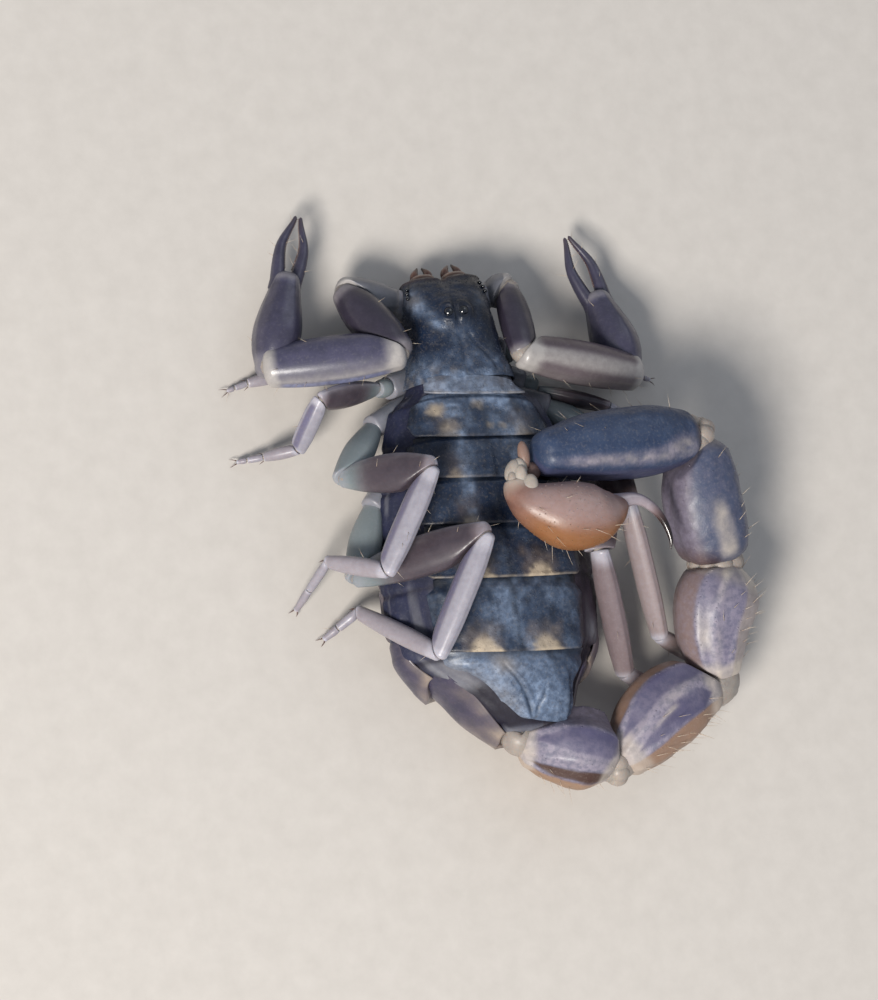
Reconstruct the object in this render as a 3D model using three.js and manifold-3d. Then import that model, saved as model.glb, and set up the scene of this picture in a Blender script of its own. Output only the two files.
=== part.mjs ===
// A small thick-tailed scorpion at life size, lying with its legs drawn up and its tail curled
// round its right side. Millimetres; +Z is up, +Y the head end and +X the animal's right.
import * as THREE from 'three';
import { mergeVertices } from 'three/addons/utils/BufferGeometryUtils.js';
import Module from 'manifold-3d';

const wasm = await Module();
wasm.setup();

// ---------------------------------------------------------------- driving dimensions

const cut = 0.05;                 // thin cut between two neighbouring pieces
const weldDistance = 1e-4;        // vertices closer than this are one vertex
const sliver = 0.01;              // facets thinner than this are merged into their neighbours
const minimumRadius = 0.25;       // no limb is thinner than half a millimetre
const limbSides = 8;              // sides of a limb's cross-section
const coxaSides = 6;              // sides of the fixed first joint of a leg
const tailSides = 12;             // sides of a tail segment's cross-section
const tailSquareness = 2.5;       // exponent of the tail's rounded-square cross-section
const endReach = 0.55;             // a segment's end reaches past its joint by this share of it
const endTaper = 0.62;            // and is this narrow there
const headRoll = 0.17;            // the head leans to the left by this angle, radians
const rollHeight = 1.2;           // height of the line that the head leans about
const rollEndsAt = 3.0;           // the lean has died out at this place along the body
const headBend = 0.12;            // and its front end bends to the left by this much
// Towards the tail the back slants to the right: place, and shift for each millimetre of height.
const slant = [[8.0, 0], [-2.2, 0], [-2.6, 0.05], [-3.2, 0.186], [-4.0, 0.32], [-4.8, 0.38]];
const slantFrom = 0.2;            // height below which nothing is shifted

// Stations along the trunk, head to tail: place, half width, height of back and of belly.
const trunk = [
  { y: 7.35, half: 0.97, back: 1.60, belly: 0.62 },
  { y: 6.95, half: 1.08, back: 2.05, belly: 0.45 },
  { y: 6.35, half: 1.12, back: 2.42, belly: 0.35 },
  { y: 5.45, half: 1.22, back: 2.45, belly: 0.30 },
  { y: 4.58, half: 1.46, back: 2.51, belly: 0.30 },
  { y: 4.10, half: 1.90, back: 2.57, belly: 0.95 },
  { y: 3.00, half: 2.40, back: 2.68, belly: 0.90 },
  { y: 1.94, half: 2.59, back: 2.78, belly: 0.34 },
  { y: 0.76, half: 2.74, back: 2.87, belly: 0.00 },
  { y: -0.62, half: 2.84, back: 2.92, belly: 0.00 },
  { y: -2.20, half: 2.72, back: 2.86, belly: 0.00 },
  { y: -2.48, half: 2.52, back: 2.82, belly: 0.01 },
  { y: -2.90, half: 2.16, back: 2.76, belly: 0.03 },
  { y: -3.40, half: 1.66, back: 2.60, belly: 0.12 },
  { y: -3.90, half: 1.34, back: 2.38, belly: 0.34 },
  { y: -4.30, half: 1.02, back: 2.12, belly: 0.62 },
  { y: -4.70, half: 0.62, back: 1.84, belly: 0.86 },
];
const carapaceStations = [0, 4];                  // first and last station of the head shield
const plateStations = [[4, 5], [5, 6], [6, 7], [7, 8], [8, 9], [9, 11], [11, 16]];

// Right halves of the trunk's cross-sections, bottom to top: share of the half width and of
// the height. The head is split into its shield and its underside.
const wholeOutline = [[0.66, 0], [0.9, 0.16], [1, 0.42], [0.88, 0.64], [0.66, 0.88],
  [0.34, 0.98], [0, 1]];
const shieldOutline = [[1, 0.47], [0.9, 0.76], [0.68, 0.93], [0.36, 0.99], [0, 1]];
const undersideOutline = [[0.5, 0], [0.84, 0.12], [1, 0.43]];

const eye = { x: 0.19, y: 6.26, z: 2.46, radius: 0.16 };
const chelicera = { x: 0.38, from: 7.40, to: 7.76, z: 1.05, radius: 0.33 };
// The coxae, fixed first joints of the limbs, start in two rows beside the sternum.
const coxae = { x: 0.45, front: 6.3, pitch: 0.5, z: 0.62, radius: 0.34 };

// Limb segments: half depth at start, middle and end, and width as a share of depth.
const legParts = {
  trochanter: { depth: [0.34, 0.42, 0.36], width: 0.80 },
  femur: { depth: [0.40, 0.50, 0.38], width: 0.62 },
  patella: { depth: [0.32, 0.35, 0.30], width: 0.72 },
  tibia: { depth: [0.26, 0.26, 0.25], width: 0.95 },
  tarsus: { depth: [0.26, 0.26, 0.26], width: 1.0 },
};
const legScale = { 1: 0.64, 2: 0.70, 3: 0.96, 4: 1.02 };
const palpParts = {
  trochanter: { depth: [0.40, 0.48, 0.46], width: 0.90 },
  femur: { depth: [0.44, 0.54, 0.44], width: 0.86 },
  patella: { depth: [0.50, 0.60, 0.52], width: 0.92 },
  palm: { depth: [0.50, 0.70, 0.42], width: 0.84 },
};
const finger = { apart: 0.31, bow: 0.10, radius: 0.27, tip: 0.25 };

// Joints of each limb from the body outwards: hip, end of the trochanter, knee, end of the
// patella, end of the tibia, and the foot.
const legJoints = {
  left_1: [[-1.40, 5.50, 0.75], [-1.80, 5.45, 0.75], [-3.15, 5.25, 0.75],
    [-4.45, 5.35, 0.42], [-5.25, 5.25, 0.30], [-5.85, 5.10, 0.24]],
  left_2: [[-1.75, 4.72, 1.00], [-2.20, 4.65, 1.25], [-3.95, 4.39, 1.90],
    [-4.40, 3.35, 0.95], [-5.15, 3.31, 0.48], [-5.85, 3.29, 0.21]],
  left_3: [[-2.35, 3.75, 1.10], [-3.60, 2.40, 1.85], [-1.95, 2.15, 3.65],
    [-3.20, -0.15, 2.90], [-4.22, 0.38, 1.55], [-4.80, -0.62, 0.14]],
  left_4: [[-2.65, 1.75, 1.10], [-3.45, -0.05, 1.35], [-0.85, 0.35, 3.85],
    [-2.15, -2.30, 2.85], [-3.35, -0.85, 0.75], [-4.20, -1.42, 0.20]],
  right_1: [[1.40, 5.50, 0.75], [1.80, 5.32, 0.70], [3.10, 4.88, 0.65],
    [4.35, 4.80, 0.38], [5.15, 4.65, 0.28], [5.75, 4.45, 0.24]],
  right_2: [[1.75, 4.60, 0.90], [2.20, 4.35, 0.90], [3.90, 3.70, 1.30],
    [4.90, 3.05, 0.80], [5.50, 2.90, 0.40], [6.10, 2.75, 0.22]],
  right_3: [[2.25, 3.90, 1.10], [3.35, 3.05, 1.30], [3.52, 1.05, 2.62],
    [4.45, -2.30, 1.20], [5.85, -2.95, 0.34], [6.55, -2.15, 0.24]],
  right_4: [[2.55, 3.00, 0.90], [3.45, 2.10, 0.80], [2.55, -0.15, 2.70],
    [3.50, -3.10, 0.82], [5.45, -4.30, 0.28], [6.30, -3.95, 0.24]],
};
// Pedipalps: root, end of the trochanter, elbow, wrist, end of the palm, tip of the fingers.
const palpJoints = {
  left: [[-1.28, 6.90, 0.98], [-2.65, 7.15, 1.20], [-1.93, 5.36, 2.42],
    [-4.90, 5.40, 1.40], [-4.12, 7.62, 1.00], [-3.50, 9.30, 0.85]],
  right: [[1.18, 6.90, 0.98], [1.70, 6.95, 1.20], [1.46, 5.10, 2.30],
    [4.62, 4.50, 1.45], [4.25, 6.55, 0.80], [3.70, 8.30, 0.72]],
};

// Tail: joints, half depths along each segment, how far its back has turned inwards, degrees,
// and how far its middle line arches towards its back.
const tailJoints = [[0.20, -4.48, 1.40], [2.55, -5.42, 1.62], [5.60, -3.75, 1.85],
  [5.82, -0.72, 2.25], [5.36, 2.38, 3.20], [0.86, 2.24, 3.80]];
const tailSegments = [
  { depth: [0.40, 0.76, 0.94, 0.94, 0.60], width: 1.05, turned: 52,
    arch: [-0.18, -0.05, 0.09, 0.15, 0.05] },
  { depth: [0.48, 0.86, 1.06, 0.96, 0.58], width: 1.02, turned: 101,
    arch: [-0.05, 0.14, 0.34, 0.28, 0.00] },
  { depth: [0.48, 0.80, 1.00, 1.08, 0.75], width: 1.02, turned: 108,
    arch: [0.00, 0.14, 0.18, 0.00, -0.30] },
  { depth: [0.78, 0.95, 0.98, 0.88, 0.60], width: 1.02, turned: 90,
    arch: [0.00, 0.02, 0.08, 0.02, -0.10] },
  { depth: [0.56, 0.88, 0.90, 0.80, 0.50], width: 1.02, turned: 84,
    arch: [-0.02, -0.04, -0.04, -0.04, 0.00] },
];
// Sting: centre lines and radii of the poison bulb and of the spine that curves off it.
const vesiclePath = [[0.36, 2.00, 3.80], [0.20, 1.64, 3.82], [0.22, 1.36, 3.84],
  [0.58, 0.99, 3.85], [1.34, 0.68, 3.85], [2.08, 0.62, 3.85], [2.58, 0.70, 3.84],
  [2.92, 0.83, 3.82]];
const vesicleRadii = [0.28, 0.30, 0.41, 0.60, 0.83, 0.76, 0.48, 0.28];
const aculeusPath = [[2.80, 0.88, 3.82], [3.27, 0.91, 3.80], [3.67, 0.68, 3.77],
  [3.96, 0.30, 3.73], [4.10, -0.14, 3.68], [4.07, -0.42, 3.64]];
const aculeusRadii = [0.26, 0.25, 0.25, 0.25, 0.25, 0.25];

// Combs under the third trunk segment: root and tip of the spine, plate depth, heights, teeth.
const pecten = { root: [0.30, 3.15], tip: [1.75, 2.25], depth: 0.42, low: 0.04, high: 0.28,
  teeth: 13, tooth: 0.30 };

// ---------------------------------------------------------------- finishes

const finish = (colour, roughness) =>
  new THREE.MeshStandardMaterial({ color: colour, roughness, metalness: 0 });
const darkPlate = finish('#39445c', 0.35);
const paleLimb = finish('#8f8a92', 0.45);
const softSkin = finish('#7d8186', 0.6);
const amber = finish('#9a5a38', 0.25);
const sting = finish('#2a1512', 0.15);
const eyeLens = finish('#0b0d12', 0.08);

// ---------------------------------------------------------------- shape helpers

const vector = (p) => new THREE.Vector3(p[0], p[1], p[2]);

// A closed body through rings that all have the same number of points.
function loft(rings) {
  const count = rings[0].length;
  const points = rings.flat();
  const faces = [];
  for (let r = 0; r + 1 < rings.length; r += 1) {
    for (let i = 0; i < count; i += 1) {
      const a = r * count + i;
      const b = r * count + ((i + 1) % count);
      faces.push(a, b, b + count, a, b + count, a + count);
    }
  }
  const last = (rings.length - 1) * count;
  for (const [start, flip] of [[0, true], [last, false]]) {
    const middle = new THREE.Vector3();
    for (let i = 0; i < count; i += 1) middle.addScaledVector(points[start + i], 1 / count);
    const centre = points.push(middle) - 1;
    for (let i = 0; i < count; i += 1) {
      const a = start + i;
      const b = start + ((i + 1) % count);
      faces.push(...(flip ? [centre, b, a] : [centre, a, b]));
    }
  }
  return closedBody(points, faces);
}

// Six times the volume that the faces enclose, negative when they point inwards.
function signedVolume(points, faces) {
  let sum = 0;
  for (let f = 0; f < faces.length; f += 3) {
    const [a, b, c] = [points[faces[f]], points[faces[f + 1]], points[faces[f + 2]]];
    sum += a.dot(new THREE.Vector3().crossVectors(b, c));
  }
  return sum;
}

function closedBody(points, faces) {
  const outward = signedVolume(points, faces) > 0 ? faces : faces.slice().reverse();
  const geometry = new THREE.BufferGeometry();
  geometry.setAttribute('position', new THREE.Float32BufferAttribute(
    points.flatMap((p) => [p.x, p.y, p.z]), 3));
  geometry.setIndex(outward);
  return geometry;
}

function toSolid(geometry) {
  const bare = geometry.clone();
  bare.deleteAttribute('normal');
  bare.deleteAttribute('uv');
  const welded = mergeVertices(bare, weldDistance);
  return new wasm.Manifold(new wasm.Mesh({
    numProp: 3,
    vertProperties: new Float32Array(welded.attributes.position.array),
    triVerts: new Uint32Array(welded.index.array),
  }));
}

// Merges the slivers that a cut or a join leaves.
const clean = (solid) => solid.asOriginal().simplify(sliver);

// The largest whole piece of a solid, as a three.js geometry.
function toGeometry(solid) {
  const pieces = clean(solid).decompose();
  const whole = pieces.reduce((best, one) => (one.volume() > best.volume() ? one : best));
  const mesh = whole.getMesh();
  const geometry = new THREE.BufferGeometry();
  geometry.setAttribute('position', new THREE.Float32BufferAttribute(mesh.vertProperties, 3));
  geometry.setIndex(Array.from(mesh.triVerts));
  return geometry;
}

const joinAll = (solids) => solids.reduce((whole, one) => clean(whole.add(one)));

// Keeps the part of a solid that lies beyond a plane, on the side its normal points to.
function keepBeyond(solid, point, normal) {
  return solid.trimByPlane(normal.toArray(), point.dot(normal));
}

const aboveFloor = (solid) => solid.trimByPlane([0, 0, 1], 0);

// A tube through points, with a section that is deep along `up` and wide across it.
function tube(path, radii, { width = 1, up, sides = limbSides, power = 2 }) {
  const rings = path.map((point, i) => {
    const before = path[Math.max(i - 1, 0)];
    const after = path[Math.min(i + 1, path.length - 1)];
    const along = after.clone().sub(before).normalize();
    const across = new THREE.Vector3().crossVectors(along, up).normalize();
    const deep = new THREE.Vector3().crossVectors(across, along);
    return Array.from({ length: sides }, (_, k) => {
      const angle = (2 * Math.PI * (k + 0.5)) / sides;
      const [c, s] = [Math.cos(angle), Math.sin(angle)];
      const swell = (Math.abs(c) ** power + Math.abs(s) ** power) ** (-1 / power);
      return point.clone()
        .addScaledVector(across, radii[i] * width * c * swell)
        .addScaledVector(deep, radii[i] * s * swell);
    });
  });
  return toSolid(loft(rings));
}

// A segment whose rounded ends reach a little past its two joints. Its middle line may arch
// towards its upper side.
function segment(a, b, depth, section, grow, arch = []) {
  const along = b.clone().sub(a).normalize();
  const upper = section.up.clone().addScaledVector(along, -section.up.dot(along)).normalize();
  const [first, last] = [depth[0], depth[depth.length - 1]];
  const path = [a.clone().addScaledVector(along, -endReach * first - grow)];
  const radii = [first * endTaper + grow];
  depth.forEach((radius, i) => {
    path.push(a.clone().lerp(b, i / (depth.length - 1)).addScaledVector(upper, arch[i] ?? 0));
    radii.push(radius + grow);
  });
  path.push(b.clone().addScaledVector(along, endReach * last + grow));
  radii.push(last * endTaper + grow);
  return tube(path, radii, section);
}

// Trims a segment at a joint by the plane that halves the bend there.
function trimAtJoint(solid, joint, inner, outer, grow) {
  const towards = joint.clone().sub(inner).normalize();
  const onwards = outer.clone().sub(joint).normalize();
  const normal = towards.add(onwards).normalize().negate();
  return keepBeyond(solid, joint.clone().addScaledVector(normal, cut / 2 - grow), normal);
}

// The pieces of a limb. Each node holds one or more segments, with a cut between nodes.
function limb(prefix, joints, nodes, parts, scale, material) {
  const points = joints.map(vector);
  let first = 0;
  return nodes.map(([name, ...partNames]) => {
    const from = first;
    const to = from + partNames.length;
    first = to;
    const build = (grow) => joinAll(partNames.map((partName, k) => {
      const i = from + k;
      const bend = i + 2 < points.length ? points[i + 2] : points[i - 1];
      const { depth, width } = parts[partName];
      const scaled = depth.map((d) => Math.max(d * scale, minimumRadius / Math.min(width, 1)));
      const section = { width, up: bend.clone().sub(points[i]) };
      let solid = segment(points[i], points[i + 1], scaled, section, grow);
      if (i === from && from > 0) {
        solid = trimAtJoint(solid, points[i], points[i + 1], points[i - 1], grow);
      }
      if (i === to - 1 && i + 2 < points.length && partName !== 'palm') {
        solid = trimAtJoint(solid, points[i + 1], points[i], points[i + 2], grow);
      }
      return solid;
    }));
    return { name: `${prefix}_${name}`, material, build };
  });
}

// ---------------------------------------------------------------- trunk

// The front of the body leans to the left, less and less towards the third segment, and the
// back of its rear end slants to the right.
function lean(point) {
  const share = THREE.MathUtils.clamp((point.y - rollEndsAt) / (trunk[0].y - rollEndsAt), 0, 1);
  const next = Math.max(1, slant.findIndex(([y]) => y <= point.y));
  const [[y0, s0], [y1, s1]] = [slant[next - 1], slant[next]];
  const aside = THREE.MathUtils.mapLinear(point.y, y0, y1, s0, s1)
    * Math.max(point.z - slantFrom, 0) - headBend * share;
  const above = new THREE.Vector3(point.x + aside, point.y, point.z - rollHeight);
  above.applyAxisAngle(new THREE.Vector3(0, 1, 0), -headRoll * share);
  return above.setZ(above.z + rollHeight);
}

function stationAt(y) {
  const next = Math.max(1, trunk.findIndex((station) => station.y <= y));
  const [from, to] = [trunk[next - 1], trunk[next]];
  const share = (from.y - y) / (from.y - to.y);
  const mix = (name) => THREE.MathUtils.lerp(from[name], to[name], share);
  return { half: mix('half'), back: mix('back'), belly: mix('belly') };
}

function trunkRing(y, outline, grow) {
  const { half, back, belly } = stationAt(y);
  const middle = (belly + back) / 2;
  const right = outline.map(([across, up]) => {
    const z = belly + (back - belly) * up;
    return new THREE.Vector3((half + grow) * across, y, z + grow * Math.sign(z - middle));
  });
  const left = right.filter((p) => p.x > 0).map((p) => p.clone().setX(-p.x));
  return [...right, ...left.reverse()].map(lean);
}

function trunkSlice([first, last], outline, grow = 0) {
  const between = trunk.slice(first + 1, last).map((station) => station.y);
  const front = trunk[first].y - cut / 2 + grow;
  const rear = trunk[last].y + cut / 2 - grow;
  return toSolid(loft([front, ...between, rear].map((y) => trunkRing(y, outline, grow))));
}

// The coxa of a limb counted from the front: the pedipalp is 0 and the last leg 4.
function coxa(hip, order, grow) {
  const end = vector(hip);
  const front = coxae.front - coxae.pitch * order;
  const start = new THREE.Vector3(Math.sign(end.x) * coxae.x, front, coxae.z);
  const radius = coxae.radius + grow;
  const section = { up: new THREE.Vector3(0, 0, 1), sides: coxaSides };
  return tube([start, end], [radius, radius], section);
}

function prosomaUnderside(grow) {
  const palps = Object.values(palpJoints).map(([root]) => coxa(root, 0, grow));
  const legRows = Object.entries(legJoints).map(([name, [hip]]) =>
    coxa(hip, Number(name.at(-1)), grow));
  const underside = trunkSlice(carapaceStations, undersideOutline, grow);
  return joinAll([underside, ...palps, ...legRows]);
}

function eyeball(side, grow) {
  const geometry = new THREE.SphereGeometry(eye.radius + grow, 10, 6);
  const place = lean(new THREE.Vector3(side * eye.x, eye.y, eye.z));
  return toSolid(geometry.translate(place.x, place.y, place.z));
}

function cheliceraBlock(side, grow) {
  const [from, to] = [chelicera.from, chelicera.to].map((y) =>
    lean(new THREE.Vector3(side * chelicera.x, y, chelicera.z)));
  const depth = [chelicera.radius, chelicera.radius, chelicera.radius * 0.8];
  return segment(from, to, depth, { up: new THREE.Vector3(0, 0, 1), power: 3 }, grow);
}

// A comb: a tapering plate whose rear edge is cut into teeth.
function comb(side) {
  const root = new THREE.Vector2(side * pecten.root[0], pecten.root[1]);
  const tip = new THREE.Vector2(side * pecten.tip[0], pecten.tip[1]);
  const along = tip.clone().sub(root);
  const rearward = new THREE.Vector2(along.y, -along.x).multiplyScalar(side / along.length());
  const at = (share, back) => root.clone().addScaledVector(along, share)
    .addScaledVector(rearward, back);
  const outline = [at(0, 0), at(1, 0)];
  for (let k = pecten.teeth; k > 0; k -= 1) {
    const taper = pecten.depth * (1 - 0.35 * (k / pecten.teeth));
    outline.push(at((k - 0.1) / pecten.teeth, taper + pecten.tooth));
    outline.push(at((k - 0.6) / pecten.teeth, taper + pecten.tooth));
    outline.push(at((k - 0.8) / pecten.teeth, taper));
  }
  const height = pecten.high - pecten.low;
  const plate = new THREE.ExtrudeGeometry(new THREE.Shape(outline),
    { depth: height, bevelEnabled: false });
  return toSolid(plate.translate(0, 0, pecten.low));
}

// ---------------------------------------------------------------- claws of the pedipalps

// One finger, from inside the palm to the tip, on the outer (-1) or the inner (+1) side.
function fingerTube(side, inner, grow) {
  const joints = palpJoints[side].map(vector);
  const [palmEnd, tip] = [joints[4], joints[5]];
  const along = tip.clone().sub(palmEnd);
  const towardsBody = new THREE.Vector3(side === 'left' ? 1 : -1, 0, 0);
  const across = towardsBody.addScaledVector(along, -towardsBody.dot(along) / along.lengthSq());
  across.normalize().multiplyScalar(inner);
  const path = [-0.12, 0.25, 0.65, 1].map((share) => palmEnd.clone()
    .addScaledVector(along, share)
    .addScaledVector(across, finger.apart + finger.bow * Math.sin(Math.PI * Math.max(share, 0))));
  const radii = [finger.radius, finger.radius, finger.radius, finger.tip].map((r) => r + grow);
  return tube(path, radii, { up: new THREE.Vector3(0, 0, 1) });
}

function pedipalp(side) {
  const nodes = [['trochanter', 'trochanter'], ['femur', 'femur'], ['patella', 'patella'],
    ['hand', 'palm']];
  const pieces = limb(`pedipalp_${side}`, palpJoints[side], nodes, palpParts, 1, paleLimb);
  const hand = pieces[pieces.length - 1];
  const palm = hand.build;
  hand.build = (grow) => palm(grow).add(fingerTube(side, -1, grow));
  pieces.push({ name: `pedipalp_${side}_movable_finger`, material: darkPlate,
    build: (grow) => fingerTube(side, 1, grow) });
  return pieces;
}

// ---------------------------------------------------------------- tail

// Which way the back of a tail segment faces: up, turned towards the inside of the curl.
function tailBack(a, b, turned) {
  const up = new THREE.Vector3(0, 0, 1);
  const inside = up.clone().cross(b.clone().sub(a)).normalize();
  const angle = THREE.MathUtils.degToRad(turned);
  return up.multiplyScalar(Math.cos(angle)).addScaledVector(inside, Math.sin(angle));
}

function tailPieces() {
  const points = tailJoints.map(vector);
  const pieces = tailSegments.map(({ depth, width, turned, arch }, i) => {
    const [a, b] = [points[i], points[i + 1]];
    const section = { width, up: tailBack(a, b, turned), sides: tailSides,
      power: tailSquareness };
    const build = (grow) => {
      let solid = segment(a, b, depth, section, grow, arch);
      if (i > 0) solid = trimAtJoint(solid, a, b, points[i - 1], grow);
      if (i + 2 < points.length) solid = trimAtJoint(solid, b, a, points[i + 2], grow);
      return solid;
    };
    return { name: `metasoma_${i + 1}`, material: darkPlate, build };
  });
  const spine = (path, radii) => (grow) => tube(path.map(vector), radii.map((r) => r + grow),
    { up: new THREE.Vector3(0, 0, 1), sides: tailSides });
  pieces.push({ name: 'telson_vesicle', material: amber,
    build: spine(vesiclePath, vesicleRadii) });
  pieces.push({ name: 'telson_aculeus', material: sting,
    build: spine(aculeusPath, aculeusRadii) });
  return pieces;
}

// ---------------------------------------------------------------- the whole animal

const legNodes = [['upper', 'trochanter', 'femur'], ['patella', 'patella'],
  ['foot', 'tibia', 'tarsus']];
const legs = Object.entries(legJoints).flatMap(([name, joints]) =>
  limb(`leg_${name}`, joints, legNodes, legParts, legScale[name.at(-1)], paleLimb));
const sides = [['left', -1], ['right', 1]];

// Where two pieces press on each other, the one further down this list gives way.
const pieces = [
  ...tailPieces(),
  ...legs,
  ...pedipalp('left'),
  ...pedipalp('right'),
  ...sides.map(([side, sign]) => ({ name: `eye_median_${side}`, material: eyeLens,
    build: (grow) => eyeball(sign, grow) })),
  { name: 'carapace', material: darkPlate,
    build: (grow) => trunkSlice(carapaceStations, shieldOutline, grow) },
  ...sides.map(([side, sign]) => ({ name: `chelicera_${side}`, material: amber,
    build: (grow) => cheliceraBlock(sign, grow) })),
  { name: 'prosoma_underside', material: paleLimb, build: prosomaUnderside },
  ...sides.map(([side, sign]) => ({ name: `pecten_${side}`, material: softSkin,
    build: () => comb(sign) })),
  ...plateStations.map((stations, i) => ({ name: `mesosoma_${i + 1}`, material: darkPlate,
    build: (grow) => trunkSlice(stations, wholeOutline, grow) })),
];

const group = new THREE.Group();
const swollen = pieces.map(({ build }) => build(cut));
pieces.forEach(({ name, material, build }, i) => {
  let solid = build(0);
  for (let j = 0; j < i; j += 1) {
    if (solid.intersect(swollen[j]).volume() > 0) solid = clean(solid.subtract(swollen[j]));
  }
  const mesh = new THREE.Mesh(toGeometry(aboveFloor(solid)), material);
  mesh.name = name;
  group.add(mesh);
});

// The origin is on the floor, under the middle of the box round the animal.
const middle = new THREE.Box3().setFromObject(group).getCenter(new THREE.Vector3());
group.position.set(-middle.x, -middle.y, 0);

export default group;
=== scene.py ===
"""The looks of a small thick-tailed scorpion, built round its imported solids.

Sizes are in millimetres in the animal's own frame: +Y is the head end, +X the animal's right
and +Z up, with the tail's root near the middle of the trunk's rear end. They become metres in
the row frame only when a mesh is written.
"""
import math
from itertools import product

import bpy
import numpy as np
from mathutils import Matrix, Vector


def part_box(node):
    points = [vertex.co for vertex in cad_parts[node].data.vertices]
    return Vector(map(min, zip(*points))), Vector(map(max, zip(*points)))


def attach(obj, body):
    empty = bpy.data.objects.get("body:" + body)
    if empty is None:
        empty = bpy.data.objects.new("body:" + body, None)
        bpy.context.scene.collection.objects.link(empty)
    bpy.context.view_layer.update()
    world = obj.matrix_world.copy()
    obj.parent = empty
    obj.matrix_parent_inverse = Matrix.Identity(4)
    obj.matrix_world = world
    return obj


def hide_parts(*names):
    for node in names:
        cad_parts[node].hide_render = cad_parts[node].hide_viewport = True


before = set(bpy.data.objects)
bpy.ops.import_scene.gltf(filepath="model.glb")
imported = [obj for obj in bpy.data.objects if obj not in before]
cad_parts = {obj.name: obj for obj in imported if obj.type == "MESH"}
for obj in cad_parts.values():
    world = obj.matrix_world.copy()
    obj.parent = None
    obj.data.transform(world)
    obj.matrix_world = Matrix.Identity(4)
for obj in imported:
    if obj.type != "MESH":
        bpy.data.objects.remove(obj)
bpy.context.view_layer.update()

# ---------------------------------------------------------------- driving sizes, millimetres

MM = 0.001
THIN_CUT = 0.05            # the cut between two solids
SHIELD_REAR = 4.58         # place along the body of the carapace's rear edge
HEAD_ROLL = 0.17           # the head leans to the left by this angle, radians
HEAD_BEND = 0.12           # and its front end bends to the left by this much
ROLL_HEIGHT = 1.2          # height of the line that the head leans about
ROLL_ENDS = 3.0            # the lean has died out at this place along the body
# Towards the tail the back slants to the right: place, and shift for each millimetre of height.
SLANT = np.array([(-4.8, 0.38), (-4.4, 0.36), (-4.0, 0.32), (-3.2, 0.186), (-2.6, 0.05),
                  (-2.2, 0.0), (8.0, 0.0)])
SLANT_FROM = 0.2           # height below which nothing is shifted
FLOOR_GAP = 0.004          # feet and belly end this far above the floor

# The row frame's origin lies under the middle of the whole animal.
trunk_box, shield_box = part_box("mesosoma_6"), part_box("carapace")
SHIFT = np.array([(trunk_box[0].x + trunk_box[1].x) / 2 / MM,
                  shield_box[0].y / MM - (SHIELD_REAR + THIN_CUT / 2), 0.0])

# Trunk, head to tail: place, half width, height of the back and of the belly.
STATIONS = np.array([
    (7.35, 0.97, 1.60, 0.62), (6.95, 1.08, 2.05, 0.45), (6.35, 1.12, 2.42, 0.35),
    (5.45, 1.22, 2.45, 0.30), (4.50, 1.50, 2.52, 0.30), (4.00, 2.00, 2.58, 0.60),
    (3.00, 2.40, 2.68, 0.50), (2.00, 2.58, 2.78, 0.30), (0.95, 2.72, 2.86, 0.00),
    (-0.55, 2.84, 2.92, 0.00), (-2.20, 2.72, 2.86, 0.00), (-2.90, 2.16, 2.76, 0.03),
    (-3.40, 1.66, 2.60, 0.12), (-3.90, 1.34, 2.38, 0.34), (-4.30, 1.02, 2.12, 0.62),
    (-4.75, 0.56, 1.80, 0.90)])[::-1]
# Right halves of the cross-sections, mid-belly to mid-back: shares of half width and height.
TRUNK_OUTLINE = np.array([(0, 0), (0.36, 0), (0.66, 0.0), (0.9, 0.16), (1, 0.42), (0.88, 0.67),
                          (0.66, 0.88), (0.34, 0.98), (0, 1)])
HEAD_OUTLINE = np.array([(0, 0), (0.3, 0), (0.6, 0.02), (0.86, 0.13), (1, 0.42), (0.93, 0.72),
                         (0.70, 0.92), (0.36, 0.99), (0, 1)])
PLATE_REARS = [4.10, 3.00, 1.94, 0.76, -0.62, -2.48, -4.22]        # back plates 1 to 7
BELLY_REARS = [2.10, 0.90, -0.40, -1.72, -3.20, -4.64]             # edges of belly plates 3 to 7
# Cream wedges on the rear edge of each back plate, one each side of the midline: distance from
# it, width, how far forward they reach, and strength.
BACK_SPOTS = [(0.95, 0.10, 0.10, 0.2), (0.98, 0.50, 0.42, 0.25), (0.95, 0.40, 0.30, 0.35),
              (0.77, 0.50, 0.30, 0.7), (0.85, 0.86, 0.42, 1.0), (0.79, 0.80, 0.50, 0.95)]
# Lone pale spots on the back: place across and along, radius, strength.
STRAY_SPOTS = [(-1.10, 3.80, 0.20, 0.8), (0.0, 3.84, 0.16, 0.35), (0.16, 3.26, 0.10, 0.3),
               (0.50, 3.24, 0.10, 0.35), (-0.85, 3.32, 0.22, 0.25)]

EYE = {"x": 0.185, "y": 6.26, "z": 2.46, "radius": 0.135}

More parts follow.
